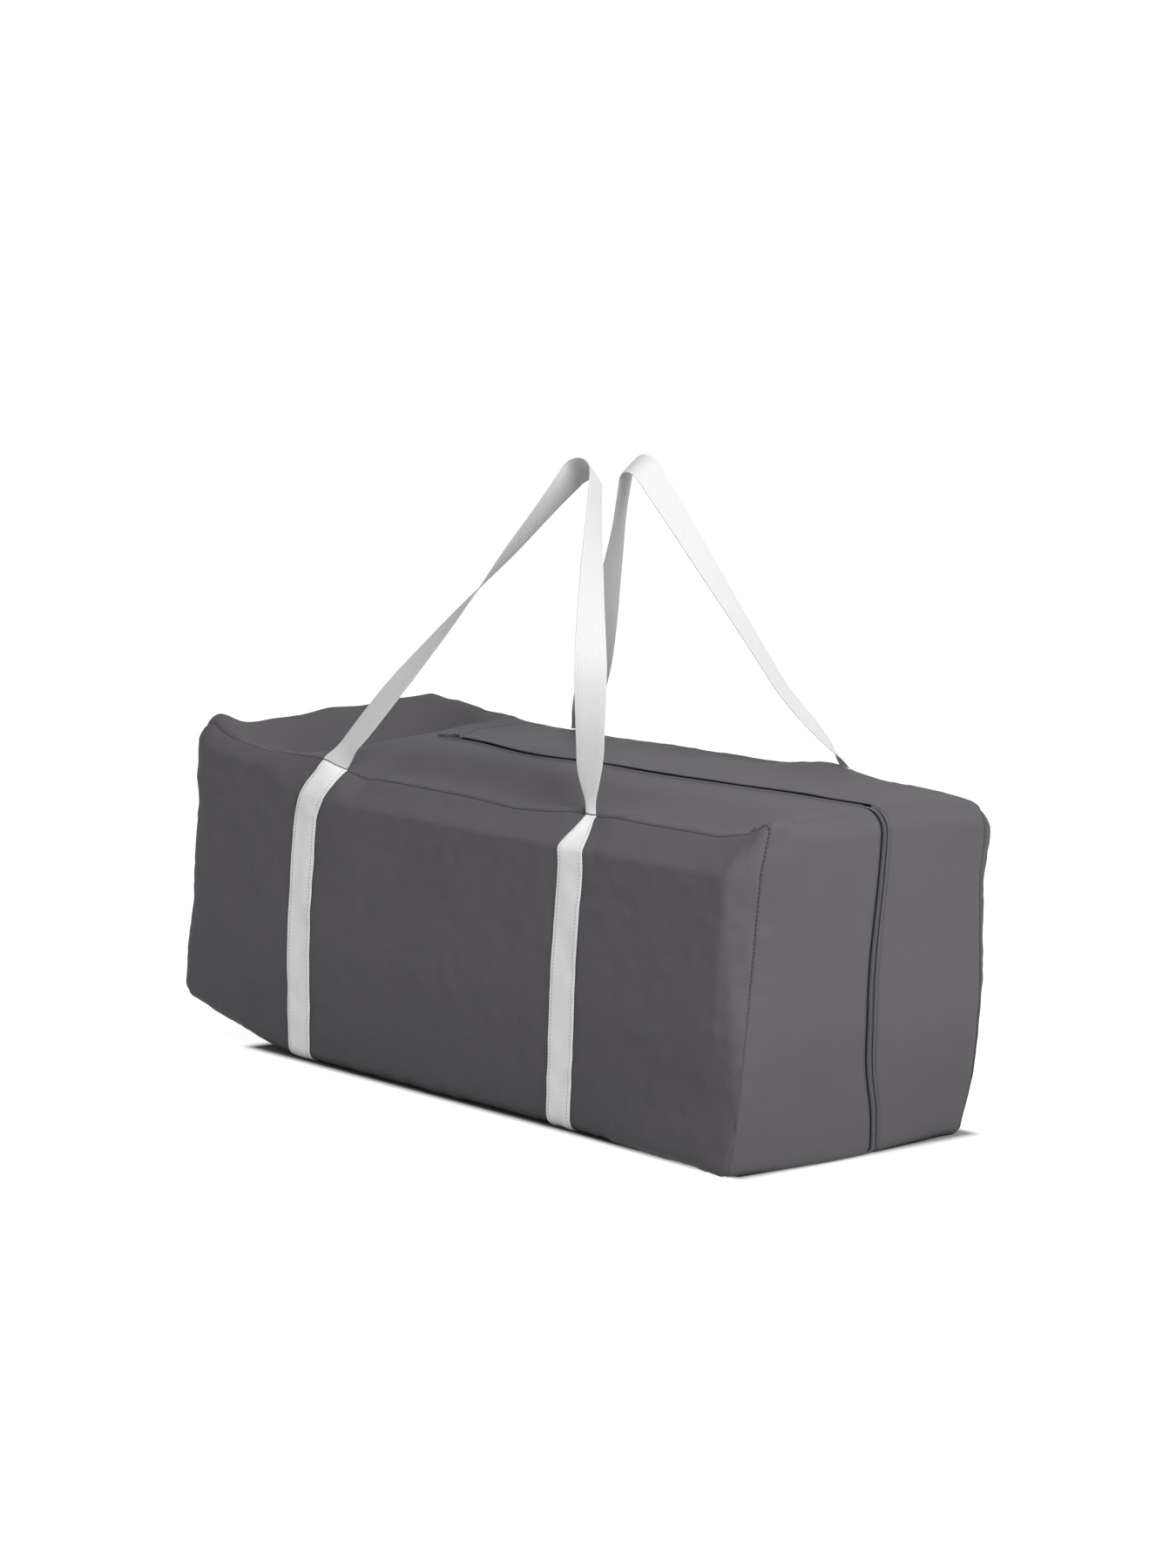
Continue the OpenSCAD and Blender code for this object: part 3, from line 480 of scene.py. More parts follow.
# %% Outward direction of the plain skin
def outward(p, reach=0.007):
    x, y, z = p.T
    to_face = {(1, 0, 0): half_l - x, (-1, 0, 0): x + half_l,
               (0, 1, 0): half_w - y, (0, -1, 0): y + half_w,
               (0, 0, 1): rim_top(x, y) - z, (0, 0, -1): z - base_z(x)}
    out = np.zeros_like(p)
    for face, gap in to_face.items():
        out += np.exp(-np.clip(gap, 0, 0.2) / reach)[:, None] * np.array(face)
    return out / np.maximum(np.linalg.norm(out, axis=1), 1e-9)[:, None]


def in_section(out):
    """The part of an outward direction that lies in the bag's lengthwise section."""
    flat = out * np.array([1, 0, 1])
    return flat / np.maximum(np.linalg.norm(flat, axis=1), 1e-9)[:, None]


print("outward at a corner", outward(np.array([[half_l, half_w, 0.2]])).round(2))

# %% Where the zip wanders
WANDER = [(-0.21, 0.0), (-0.160, 0.0), (-0.120, -0.006), (-0.085, -0.016), (-0.040, -0.020),
          (0.0, -0.014), (0.052, -0.010), (0.141, 0.0), (0.255, 0.012), (0.330, 0.013),
          (0.400, 0.010), (0.443, 0.008), (0.497, 0.003), (0.554, 0.003), (0.600, 0.008),
          (0.645, 0.013), (0.685, 0.009)]
zip_run = np.linspace(-0.25, 0.72, 500)
soften = np.hanning(21) / np.hanning(21).sum()
zip_drift = np.convolve(np.interp(zip_run, *zip(*WANDER)), soften, mode="same")


def wander(x, z):
    """How far the zip lies from the middle line, at a place along the top or the end."""
    return np.interp(x + 0.310 - z, zip_run, zip_drift)


print("zip wanders, in mm:", (1000 * zip_drift.min()).round(1), "to", (1000 * zip_drift.max()).round(1))


# %% Where the filling and the handles pull the cloth out of its pattern
# Middle of each pull, how far it reaches, and how far it moves the cloth there
TUGS = [((0.370, -0.045, 0.000), (0.035, 0.120, 0.050), (0.0150, 0.0, 0.0)),
        ((0.310, -0.165, 0.000), (0.090, 0.030, 0.045), (0.0, -0.0145, 0.0)),
        ((0.372, -0.160, 0.000), (0.040, 0.035, 0.032), (0.0, -0.0085, 0.0)),
        ((0.365, 0.164, 0.140), (0.060, 0.040, 0.110), (0.0, 0.0085, 0.0)),
        ((0.368, 0.164, 0.000), (0.050, 0.060, 0.035), (0.0, -0.0160, 0.0)),
        ((0.110, 0.150, 0.315), (0.120, 0.060, 0.050), (0.0, 0.0, 0.0030)),
        ((0.185, 0.150, 0.320), (0.040, 0.040, 0.030), (0.0, 0.0, 0.0080)),
        ((-0.300, 0.150, 0.315), (0.085, 0.075, 0.050), (0.0, 0.0, 0.0075)),
        ((0.372, 0.155, 0.310), (0.045, 0.050, 0.040), (0.0, 0.004, -0.0060)),
        ((0.368, 0.160, 0.275), (0.030, 0.020, 0.022), (0.002, 0.0050, 0.0)),
        ((-0.370, -0.143, 0.302), (0.024, 0.020, 0.030), (-0.003, 0.0020, 0.0140)),
        ((-0.370, -0.150, 0.270), (0.045, 0.060, 0.040), (-0.0060, 0.0, 0.0)),
        ((-0.370, -0.150, 0.070), (0.050, 0.120, 0.070), (-0.0070, 0.0, -0.0030)),
        ((0.154, -0.158, 0.285), (0.020, 0.015, 0.020), (0.0, 0.004, -0.0030))]
# Height of the front seam above or below its pattern, at places along the bag
SEAM_LINE = [(-0.30, 0.0), (-0.240, 0.0), (-0.195, -0.001), (-0.162, -0.0095), (-0.146, -0.0145),
             (-0.110, -0.0130), (-0.018, -0.0140), (0.048, -0.0160), (0.082, -0.0140),
             (0.122, -0.0105), (0.164, -0.0080), (0.297, -0.0080), (0.331, -0.002), (0.358, 0.0085),
             (0.368, 0.0095)]
seam_inward = 0.0175            # how far the front seam is drawn towards the middle
end_corner = (-0.0110, 0.0100)  # how far the end's front seam lies back from its corner


def pulled(p, top):
    """How the pulls move points p of the plain skin; top is the rim's height there."""
    x, y, z = p.T
    move = np.zeros_like(p)
    for middle, reach, by in TUGS:
        d = (p - np.array(middle)) / np.array(reach)
        move += np.exp(-np.sum(d * d, axis=1))[:, None] * np.array(by)
    along = np.interp(x, *zip(*SEAM_LINE))
    down = ease((z - top + 0.050) / 0.050)
    inward = ease((-y - 0.030) / 0.105)
    move[:, 2] += along * down * inward
    filled = ease((x + 0.190) / 0.06) * (1 - 0.45 * ease((x - 0.330) / 0.040))
    move[:, 1] += seam_inward * filled * unit((z - top + 0.036) / 0.036) * ease((-y - 0.050) / 0.090)
    corner = unit((x - 0.338) / 0.032) * ease((-y - 0.095) / 0.055) * ease((z - 0.030) / 0.150)
    move[:, :2] += corner[:, None] * np.array(end_corner)
    return move


print("pulls:", len(TUGS), "and a front seam that wanders", len(SEAM_LINE), "ways")


# %% Dress: from pattern to filled bag
def dress(points):
    """Moves points of the plain skin to where the filled bag's skin lies."""
    p = np.array(points, float).reshape(-1, 3)
    out = outward(p)
    x, y, z = p.T
    side, reach = np.sign(y), np.abs(y)
    top, low = rim_top(x, y), base_z(x)
    v = unit((z - low) / (top - low))
    belly = 4 * v * (1 - v)
    s = slack(x)
    on_side = ease((reach - 0.120) / 0.040)
    at_end = ease((x - 0.325) / 0.040)
    on_top = ease((z - top + 0.020) / 0.020)
    move = np.zeros_like(p)
    # Filled side panels and end swell between their seams; the straps hold the sides in
    filled = ease((x + 0.33) / 0.12) * ease((0.372 - x) / 0.08)
    held = near(x + 0.190, 0.026) + near(x - 0.160, 0.026)
    move[:, 1] += side * on_side * belly * (0.0042 * filled - 0.0014 * held)
    move[:, 0] += at_end * 0.0035 * belly * (1 - (y / half_w) ** 2)
    # Seams sink into the cloth
    seam_gap = np.abs(reach - seam_y)
    move -= in_section(out) * (0.0020 * near(seam_gap, 0.0011) + 0.0007 * near(seam_gap, 0.004))[:, None]
    # Broad unevenness, then finer crumples where the bag is slack or near its seams
    broad = 0.0011 * noise(p, 0.080, 1) + 0.0006 * noise(p, 0.036, 2)
    loose = 0.0022 * ease(2.2 * s) * noise(p, 0.045, 3) + 0.0008 * ease(2.5 * s) * noise(p, 0.018, 4)
    rim = (seam_gap / 0.012) * np.exp(1 - seam_gap / 0.012)
    strung = np.stack([x, 0.3 * y, z], axis=1)
    pucker = rim * (0.0009 * noise(strung, 0.0125, 5) + 0.0006 * noise(strung, 0.0060, 6))
    move += out * (broad + loose + pucker)[:, None]
    # A crease marks the cross seam at the back
    crease = near(x - zip_x0, 0.0010) * ease((y - 0.006) / 0.004) * ease((z - top + 0.006) / 0.004)
    move -= out * (0.0022 * crease)[:, None]
    move += pulled(np.stack([x, y, z], axis=1), top)
    p += move
    # The end seams drift to the corners on their way down
    drift = 0.013 * ease((x - 0.320) / 0.050) * ease((0.285 - z) / 0.250)
    share = np.where(reach <= seam_y, reach / seam_y, unit((half_w - reach) / seam_in))
    p[:, 1] += side * drift * share
    # The zip wanders, and draws the cloth beside it along
    p[:, 1] += wander(x, z) * ease(1 - reach / 0.110) * ease((x + 0.19) / 0.03)
    # The cross seam behind the zip's start bows towards the closed end
    p[:, 0] -= 0.030 * ease(reach / 0.080) * near(x - zip_x0, 0.050) * on_top * (y > 0)
    p[:, 2] = np.maximum(p[:, 2], 0.0002)
    return p


def dress_grid(grid):
    return dress(grid).reshape(grid.shape)


print("dressed corner", dress([[half_l, -half_w, 0.2]]).round(4))

# %% [markdown]
# ## Sewing a sheet
# Each panel starts as a grid of points: rows along it, columns across. The same grid,
# moved in by the cloth's thickness, is its lining side, and a narrow band closes the
# edge. The grid's own lengths, in metres, become its UV, so threads keep their size.

# %% Closed sheets from grids
def grid_normals(p):
    along, across = np.gradient(p, axis=0), np.gradient(p, axis=1)
    n = np.cross(along, across)
    return n / np.maximum(np.linalg.norm(n, axis=2), 1e-12)[..., None]


def grid_lengths(p):
    def run(axis):
        steps = np.linalg.norm(np.diff(p, axis=axis), axis=2)
        start = np.zeros_like(np.take(steps, [0], axis=axis))
        return np.cumsum(np.concatenate([start, steps], axis=axis), axis=axis)
    return np.stack([run(1), run(0)], axis=2)


def outward_normals(grid, inside=heart):
    """A grid's normals, each turned away from a point inside the bag."""
    n = grid_normals(grid)
    return n * np.sign(np.sum(n * (grid - np.array(inside)), axis=2))[..., None]


def grid_faces(rows, cols):
    """Quads of a grid, and of the band round its rim to a second grid behind it."""
    i = np.arange(rows * cols).reshape(rows, cols)
    quad = np.stack([i[:-1, :-1], i[:-1, 1:], i[1:, 1:], i[1:, :-1]], axis=-1).reshape(-1, 4)
    rim = np.concatenate([i[0, :], i[1:, -1], i[-1, -2::-1], i[-2:0:-1, 0]])
    after = np.roll(rim, -1)
    return quad, np.stack([rim, after, after + rows * cols, rim + rows * cols], axis=1)


def sewn_sheet(name, p, finish, thickness=cloth_t):
    """A thin closed sheet on a grid of points, its face turned out of the bag."""
    n = grid_normals(p)
    flip = np.sum(n * (p - np.array(heart))) < 0
    n = -n if flip else n
    quad, rim_band = grid_faces(*p.shape[:2])
    if flip:
        rim_band = rim_band[:, ::-1]
    else:
        quad = quad[:, ::-1]
    lining = quad[:, ::-1] + p.shape[0] * p.shape[1]
    points = np.concatenate([p.reshape(-1, 3), (p - n * thickness).reshape(-1, 3)])
    item = mesh_object(name, points, np.concatenate([quad, lining, rim_band]),
                       np.concatenate([grid_lengths(p).reshape(-1, 2)] * 2), finish)
    item.data.set_sharp_from_angle(angle=math.radians(62))
    return item


print("cloth", cloth_t * 1000, "mm thick")


def cut_as(plain):
    """Measures a sheet's cut size, the lengths of its plain pattern before it is filled; the result is
    not kept.
    """
    lengths = grid_lengths(plain)


def fitted(name, plain, node):
    """A sheet of the skin, pulled into shape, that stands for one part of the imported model."""
    piece = sewn_sheet(name, dress_grid(plain), bag_cloth)
    cut_as(plain)
    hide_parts(node)
    return piece

# %% [markdown]
# ## Side panels
# A side panel is a shallow pan. Its rim lies in the plane of the seams, and the cloth
# rounds over from there to the face: softly along the top, where the filling pushes
# up, and tightly at the floor. The grid's corners are drawn in to round the outline.

# %% Side panels
def turn(count):
    """Shares of a quarter round, from its edge on, with two close steps for the seam."""
    angles = np.linspace(0, math.pi / 2, count)
    return 1 - np.cos(np.concatenate([[0.0, 0.022, 0.055], angles[1:]]))


def spaced(low_band, low_reach, middle, high_band, high_reach, total):
    """Distances from one edge: close together in both edge bands, even between them."""
    low = low_reach * turn(low_band)[:, None]
    high = total - high_reach * turn(high_band)[::-1][:, None]
    t = np.linspace(0, 1, middle + 2)[1:-1][:, None]
    return np.concatenate([low + 0 * total, low[-1:] * (1 - t) + high[:1] * t, high])


def quarter(gap, reach, power=2.0):
    """Depth of a rounded edge; a power below 2 makes it flatter, like a bevel."""
    return np.maximum(0, 1 - (1 - unit(gap / reach)) ** power) ** (1 / power)


def top_round(x):
    return 0.015 + 0.023 * (1 - ease(2.6 * slack(x)))


# Round of the zipped end, then how flat that round and the top's round are
PANS = {-1: (0.034, 1.18, 1.28), 1: (0.014, 2.0, 2.0)}


def pan_surface(side):
    end_round, end_power, top_power = PANS[side]
    across = spaced(12, 0.018, 150, 14, end_round, np.full((1, 1), 2 * half_l))[:, 0]
    x = across - half_l
    low, top = base_z(x), rim_top(x, side * seam_y)
    up = spaced(9, 0.015, 62, 14, top_round(x)[None, :], (top - low)[None, :])
    x = np.repeat(x[None, :], len(up), axis=0)
    z = low + up
    gaps = [x + half_l, half_l - x, z - low, top - z]
    v = up / (top - low)
    reach = [0.018, 0.009 + (end_round - 0.009) * ease((v - 0.3) / 0.6), 0.012, top_round(x)]
    power = [2.0, end_power, 2.0, top_power]
    depth = np.prod([quarter(g, r, k) for g, r, k in zip(gaps, reach, power)], axis=0)
    for gx, sx in ((gaps[0], -1), (gaps[1], 1)):
        for gz, sz in ((gaps[2], -1), (gaps[3], 1)):
            r = low_r if sx < 0 else (foot_r if sz < 0 else end_round_at(side * seam_y))
            a, b = unit(1 - gx / r), unit(1 - gz / r)
            pull = np.maximum(a, b) / np.maximum(np.hypot(a, b), 1e-9) - 1
            corner = (a > 0) & (b > 0)
            x = x + np.where(corner, sx * r * a * pull, 0)
            z = z + np.where(corner, sz * r * b * pull, 0)
    return np.stack([x, side * (seam_y + seam_in * depth), z], axis=2)


panels = [fitted(word + "_side_cloth", pan_surface(side), word + "_side_panel")
          for side, word in SIDES]

# %% [markdown]
# ## Base, ends and top
# The rest of the skin is one long band, cut where the pattern is cut. Each part of it
# follows the bag's lengthwise section: under the floor line, round an end, over the
# top. The two top flaps are cut once more half way, where they lift highest.

# %% Walking along a line of points
def directions(path):
    run = np.gradient(path, axis=0)
    return run / np.linalg.norm(run, axis=1)[:, None]


def path_lengths(path):
    return np.concatenate([[0], np.cumsum(np.linalg.norm(np.diff(path, axis=0), axis=1))])


def sample(at, lengths, values):
    """Values along a path, read off at the lengths at."""
    return np.stack([np.interp(at, lengths, column) for column in values.T], axis=-1)


print("a unit square's path", path_lengths(np.array([[0, 0], [1, 0], [1, 1], [0, 1]])))


# %% Lengthwise sections
def arc(cx, cz, r, start, stop, count):
    """Points round a centre, from one angle to another, in degrees."""
    a = np.radians(np.linspace(start, stop, count))
    return np.stack([cx + r * np.cos(a), cz + r * np.sin(a)], axis=1)


def line(a, b, count):
    """Points between a and b, without a and b."""
    t = np.linspace(0, 1, count + 2)[1:-1, None]
    return np.array(a) * (1 - t) + np.array(b) * t


# Close steps beside the cross seam at the zip's start, so that its crease is sharp
CREASE = np.array([0.0, 0.0003, 0.0008, 0.0016, 0.0030])


def zip_end_section(y):
    top, r = float(rim_top(half_l, y)), end_round_at(y)
    return np.concatenate([
        arc(half_l - foot_r, foot_r, foot_r, -90, 0, 9),
        line((half_l, foot_r), (half_l, top - r), 58),
        arc(half_l - r, top - r, r, 0, 90, 12),
        line((half_l - r, top), (zip_x1, top), 3), [(zip_x1, top)]])


def closed_section(y):
    x = np.concatenate([zip_x0 - CREASE, np.linspace(zip_x0 - 0.006, low_r - half_l, 52)])
    top = np.stack([x, rim_top(x, y)], axis=1)
    edge, low = top[-1, 1], float(base_z(-half_l))
    return np.concatenate([
        top[:-1],
        arc(low_r - half_l, edge - low_r, low_r, 90, 180, 9),
        line((-half_l, edge - low_r), (-half_l, low + low_r), 52),
        arc(low_r - half_l, low + low_r, low_r, 180, 270, 9)])


def band(section, places, rolled=False):
    """Points of a band of the skin; where it is rolled, its edge turns in along the zip."""
    grid = np.zeros((len(section(0.0)), len(places), 3))
    for j, y in enumerate(places):
        path = section(y)
        run = directions(path)
        turned = np.stack([-run[:, 1], run[:, 0]], axis=1)
        roll = 0.0016 * ease(1 - (abs(y) - channel) / 0.0035) if rolled else 0.0
        path = path + turned * roll
        grid[:, j] = np.stack([path[:, 0], np.full(len(path), y), path[:, 1]], axis=1)
    return grid


def half_places(side):
    """Places across one half, from the zip out to the seam, close together at both."""
    near_zip = channel + np.array([0, 0.0008, 0.0017, 0.0026, 0.0036])
    near_seam = seam_y - np.array([0.0085, 0.006, 0.0042, 0.0028, 0.0016, 0.0006, 0.00015])
    middle = np.linspace(near_zip[-1], near_seam[0], 40)[1:-1]
    return list(side * np.concatenate([near_zip, middle, near_seam]))


full_places = sorted(half_places(-1) + half_places(1) + [-0.0035, -0.0015, 0.0015, 0.0035])
print("columns", len(half_places(1)), "and", len(full_places))


# %% Base and ends
def base_section(y):
    x = np.linspace(half_l - foot_r - 0.0003, low_r - half_l + 0.0003, 150)[::-1]
    return np.stack([x, base_z(x)], axis=1)


base = fitted("base_cloth", band(base_section, full_places), "base_panel")
closed_end = fitted("closed_end_cloth", band(closed_section, full_places), "closed_end_panel")
ends = [fitted("zip_end_cloth_" + word, band(zip_end_section, half_places(side), rolled=True),
               "zip_end_" + word) for side, word in SIDES]

# %% [markdown]
# ## Top flaps that open like a bag
# Along the zip the two flaps part, but at both ends of the zip the cloth stays joined.
# Each half flap is a sheet of its own, from one end of the zip to the middle.

# %% Flap halves
lift_x = 0.080


def top_section(x0, x1, count):
    """The section of a stretch of the top; the one at the cross seam starts in close steps."""
    def section(y):
        x = np.linspace(x0, x1, count)
        if x0 < 0:
            x = np.concatenate([x0 + CREASE, np.linspace(x0 + 0.006, x1, count)])
        return np.stack([x, top_z(x, y)], axis=1)
    return section


def lifts(piece):
    """Bakes a piece's placement into its points."""
    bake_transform(piece)
    return piece


halves = {"closed": (zip_x0 + 0.0001, lift_x, 82), "zip": (lift_x, zip_x1, 86)}
for side, word in SIDES:
    for half, stretch in halves.items():
        plain = band(top_section(*stretch), half_places(side), rolled=True)
        lifts(fitted(f"top_flap_{word}_{half}", plain, "top_flap_" + word))

# %% [markdown]
# ## The zip
# A coil zip is two springs of nylon sewn to two tapes. Each turn of a spring shows as
# a short slanting bar, and the bars of both sides interlock. Bars are cheap to model:
# one small tube of six sides, repeated along the zip's path on alternating sides.

# %% Paths along the zip
tape_depth, bar_depth, bar_slant = 0.0026, 0.0009, 0.12


def zip_path(kind, y):
    """Plain points and outward normals along the zip at a place across it."""
    if kind == "end":
        section = zip_end_section(y)
    else:
        x0, x1, _ = halves[kind]
        x = np.linspace(x0, x1, 200)
        section = np.stack([x, top_z(x, y)], axis=1)
    run = directions(section)
    out = np.stack([run[:, 1], -run[:, 0]], axis=1) * (1 if kind == "end" else -1)
    return section, out


def zip_tape(kind, side):
    depths = []
    for y in side * np.linspace(0.0006, 0.0145, 9):
        section, out = zip_path(kind, y)
        sunk = section - out * tape_depth
        depths.append(np.stack([sunk[:, 0], np.full(len(sunk), y), sunk[:, 1]], axis=1))
    return np.stack(depths, axis=1)


print("zip down the end:", path_lengths(zip_path("end", 0.0)[0])[-1].round(3), "m")


# %% The coil's bars
def tube_faces(rings, sides):
    """Faces of a short closed tube whose points come ring by ring."""
    walls = [(sides * k + j, sides * k + (j + 1) % sides,
              sides * (k + 1) + (j + 1) % sides, sides * (k + 1) + j)
             for k in range(rings - 1) for j in range(sides)]
    last = sides * (rings - 1)
    return walls + [tuple(range(sides - 1, -1, -1)), tuple(range(last, last + sides))]


# Each ring of a bar: how far it lies across the zip, its radius, and how high it sits
BAR = [(0.0032, 0.00022, -0.0007), (0.0029, 0.00048, -0.0002), (0.0016, 0.00056, 0.0),
       (0.0003, 0.00058, 0.0), (-0.0004, 0.00050, -0.0001), (-0.0007, 0.00018, -0.0004)]
bar_sides = 6


def bars(kind, side, pitch=0.0015):
    """Points, faces and number of the coil's bars on one side of one stretch of the zip."""
    section, out = zip_path(kind, 0.0)
    lengths = path_lengths(section)
    if kind == "closed":
        first = 0.008 + (pitch / 2 if side > 0 else 0)
    else:
        first = pitch * (0.25 if side > 0 else 0.75)
    at = np.arange(first, lengths[-1], pitch)
    centre, normal = sample(at, lengths, section), sample(at, lengths, out)
    run = np.stack([-normal[:, 1], normal[:, 0]], axis=1)
    rings = []
    for across, r, rise in BAR:
        for a in np.arange(bar_sides) * 2 * math.pi / bar_sides:
            spot = (centre + normal * (-bar_depth + rise + r * math.sin(a))
                    + run * (bar_slant * across + r * math.cos(a)))
            rings.append(np.stack([spot[:, 0], np.full(len(at), side * across), spot[:, 1]], axis=1))
    one = tube_faces(len(BAR), bar_sides)
    faces = [tuple(v + len(rings) * i for v in face) for i in range(len(at)) for face in one]
    return np.stack(rings, axis=1).reshape(-1, 3), faces, len(at)


def facing_out(item):
    """Turns all faces outward on a closed mesh of many small solids."""
    work = bmesh.new()
    work.from_mesh(item.data)
    bmesh.ops.recalc_face_normals(work, faces=work.faces)
    work.to_mesh(item.data)
    work.free()
    return item


print("faces of one bar:", len(tube_faces(len(BAR), bar_sides)))

# %% Tapes and coils
teeth = 0
for side, word in SIDES:
    for kind in ("closed", "zip", "end"):
        tape = sewn_sheet(f"zip_tape_{word}_{kind}", dress_grid(zip_tape(kind, side)), tape_cloth, 0.0005)
        points, faces, count = bars(kind, side)
        coil = facing_out(mesh_object(f"zip_coil_{word}_{kind}", dress(points), faces,
                                      points[:, [1, 0]], coil_nylon))
        teeth += count
        for piece in (tape, coil):
            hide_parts(("end_zip_" if kind == "end" else "top_zip_") + word)
            if kind == "end":
                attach(piece, "root")
            else:
                lifts(piece)
print("coil bars:", teeth)
for piece in (base, closed_end, *ends, *panels):
    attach(piece, "root")

# %% [markdown]
# ## Webbing straps and handles
# Four lengths of webbing are sewn down the sides, and two loops of the same webbing are
# sewn to them at the top edges. A strap lies on the cloth, so its points are taken from
# the side panel's own surface and moved out by half its thickness. A handle is a ribbon
# that twists on its way up, so each point needs a middle, a width and a direction.

# %% Ribbons
web_cols = 9
web_mid = web_cols // 2


def ribbon_from_grid(name, grid, finish, thickness=web_t):
    """A closed ribbon of even thickness round a grid, thinner at its two edges."""
    rows, cols = grid.shape[:2]
    n = grid_normals(grid)
    edge = np.abs(np.linspace(-1, 1, cols))
    thick = thickness / 2 * (1 - 0.45 * ease((edge - 0.86) / 0.14))
    upper = grid + n * thick[None, :, None]
    lower = grid - n * thick[None, :, None]
    uv = grid_lengths(grid).reshape(-1, 2)
    quad, walls = grid_faces(rows, cols)
    points = np.concatenate([upper.reshape(-1, 3), lower.reshape(-1, 3)])
    item = mesh_object(name, points, np.concatenate([quad[:, ::-1], quad + rows * cols, walls]),
                       np.concatenate([uv, uv]), finish)
    facing_out(item)
    item.data.set_sharp_from_angle(angle=math.radians(50))
    return item


print("ribbon ready, webbing", web_w * 1000, "mm wide")

# %% The side panel's own surface, for what is sewn on it
surfaces = {}
for side, word in SIDES:
    grid = dress_grid(pan_surface(side))
    surfaces[side] = (grid, grid_lengths(grid)[..., 1])
pan_x = pan_surface(-1)[30, :, 0]


def on_panel(side, places, heights):
    """Points of the panel's surface at places along it, each so far up from its lower seam."""
    grid, up_run = surfaces[side]
    spots = []
    for col, at in zip(np.interp(places, pan_x, np.arange(len(pan_x))), heights):
        k = min(int(col), len(pan_x) - 2)
        left, right = (sample(at, up_run[:, j], grid[:, j]) for j in (k, k + 1))
        spots.append(left * (k + 1 - col) + right * (col - k))
    return np.array(spots)


print("panel grids", [grid.shape[:2] for grid, _ in surfaces.values()])


# %% Facings and hem, which close the front seam from inside
def facing(half, under, deep=0.032, overlap=0.006):
    """The strip of the front half that is folded down inside the panel at their seam."""
    x0, x1, _ = halves[half]
    grid, up_run = surfaces[-1]
    cols = np.flatnonzero((pan_x > x0 - overlap) & (pan_x < x1 + overlap))
    inner = grid - outward_normals(grid) * under
    down = np.linspace(0.0008, deep, 9)
    strip = np.stack([sample(up_run[-1, j] - down, up_run[:, j], inner[:, j]) for j in cols], axis=1)
    name = "flap_facing_front_" + half
    cut_as(strip)
    return sewn_sheet(name, strip, bag_cloth, 0.0006)


for half, under in (("closed", 0.0021), ("zip", 0.0029)):
    lifts(facing(half, under))
    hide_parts("top_flap_front")
hem_x = np.linspace(zip_x0 + 0.004, zip_x1 - 0.004, 90)
plain = np.array([[[x, -seam_y + inward, float(top_z(x, -seam_y + inward))] for x in hem_x]
                  for inward in np.linspace(0.0006, 0.034, 8)])
hem = sewn_sheet("panel_hem_front", dress_grid(plain) - np.array([0, 0, 0.0026]), bag_cloth, 0.0006)
cut_as(plain)
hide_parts("front_side_panel")
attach(hem, "root")

# %% Side straps
# Place on the face, place at the top seam, share of the width left there, and how far
# the foot is drawn towards the zipped end
STRAPS = {(-1, "closed"): (-0.1995, -0.181, 0.90, 0.0050), (-1, "zip"): (0.1550, 0.145, 0.36, 0.0025),
          (1, "closed"): (-0.135, -0.137, 0.80, 0.0), (1, "zip"): (0.178, 0.188, 0.40, 0.0)}


def strap_grid(side, which):
    """Points of one strap, which climbs its side, leans and narrows as it nears the top."""
    face_x, seam_x, narrow, drawn = STRAPS[side, which]
    mid_col = int(np.argmin(np.abs(pan_x - face_x)))
    total = surfaces[side][1][-1, mid_col]
    s = np.concatenate([np.linspace(0.001, 0.022, 12), np.linspace(0.022, total - 0.060, 56)[1:-1],
                        np.linspace(total - 0.060, total - 0.0006, 32)])
    centre = face_x + (seam_x - face_x) * ease((s - total + 0.065) / 0.065)
    centre += drawn * (1 - ease(s / 0.150))
    width = web_w / 2 * (1 - (1 - narrow) * ease((s - total + 0.045) / 0.045))
    slope = np.gradient(centre, s)
    flat = 1 / np.hypot(1, slope)
    lines = [on_panel(side, centre + u * width * flat,
                      np.clip(s - u * width * slope * flat, 0.0006, total - 0.0003))
             for u in np.linspace(-1, 1, web_cols)]
    grid = np.stack(lines, axis=1)
    for _ in range(2):
        grid[1:-1] = (grid[:-2] + 2 * grid[1:-1] + grid[2:]) / 4
    return grid + outward_normals(grid, (face_x, 0, heart[2])) * (web_t / 2 + 0.0003)


straps = {}
for side, word in SIDES:
    for which in ("closed", "zip"):
        grid = strap_grid(side, which)
        piece = ribbon_from_grid(f"strap_{word}_{which}", grid, pale_web)
        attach(piece, "root")
        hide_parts(f"{word}_strap_{which}")
        straps[side, which] = grid
        print(piece.name, "from", grid[0, web_mid].round(3), "up to", grid[-1, web_mid].round(3))

# %% The handles' middle lines
lean = math.radians(23.5)
# Crown: place along the bag, radius, height over the feet. Feet: their two places along
# the bag, place across it, height. Bows: how far each leg bends out of straight
CROWNS = {-1: (0.0125, 0.0175, 0.319), 1: (0.022, 0.0165, 0.3035)}
FEET = {-1: (-0.178, 0.164, -0.1525, 0.2960), 1: (-0.137, 0.188, 0.1525, 0.3160)}
BOWS = {-1: (0.002, 0.004), 1: (0.0, 0.0)}
LEGS = ((-1, "closed"), (1, "zip"))
left_turn, right_turn = math.radians(151), math.radians(23)


def bezier(a, b, c, t):
    return a * (1 - t) ** 2 + b * 2 * t * (1 - t) + c * t * t


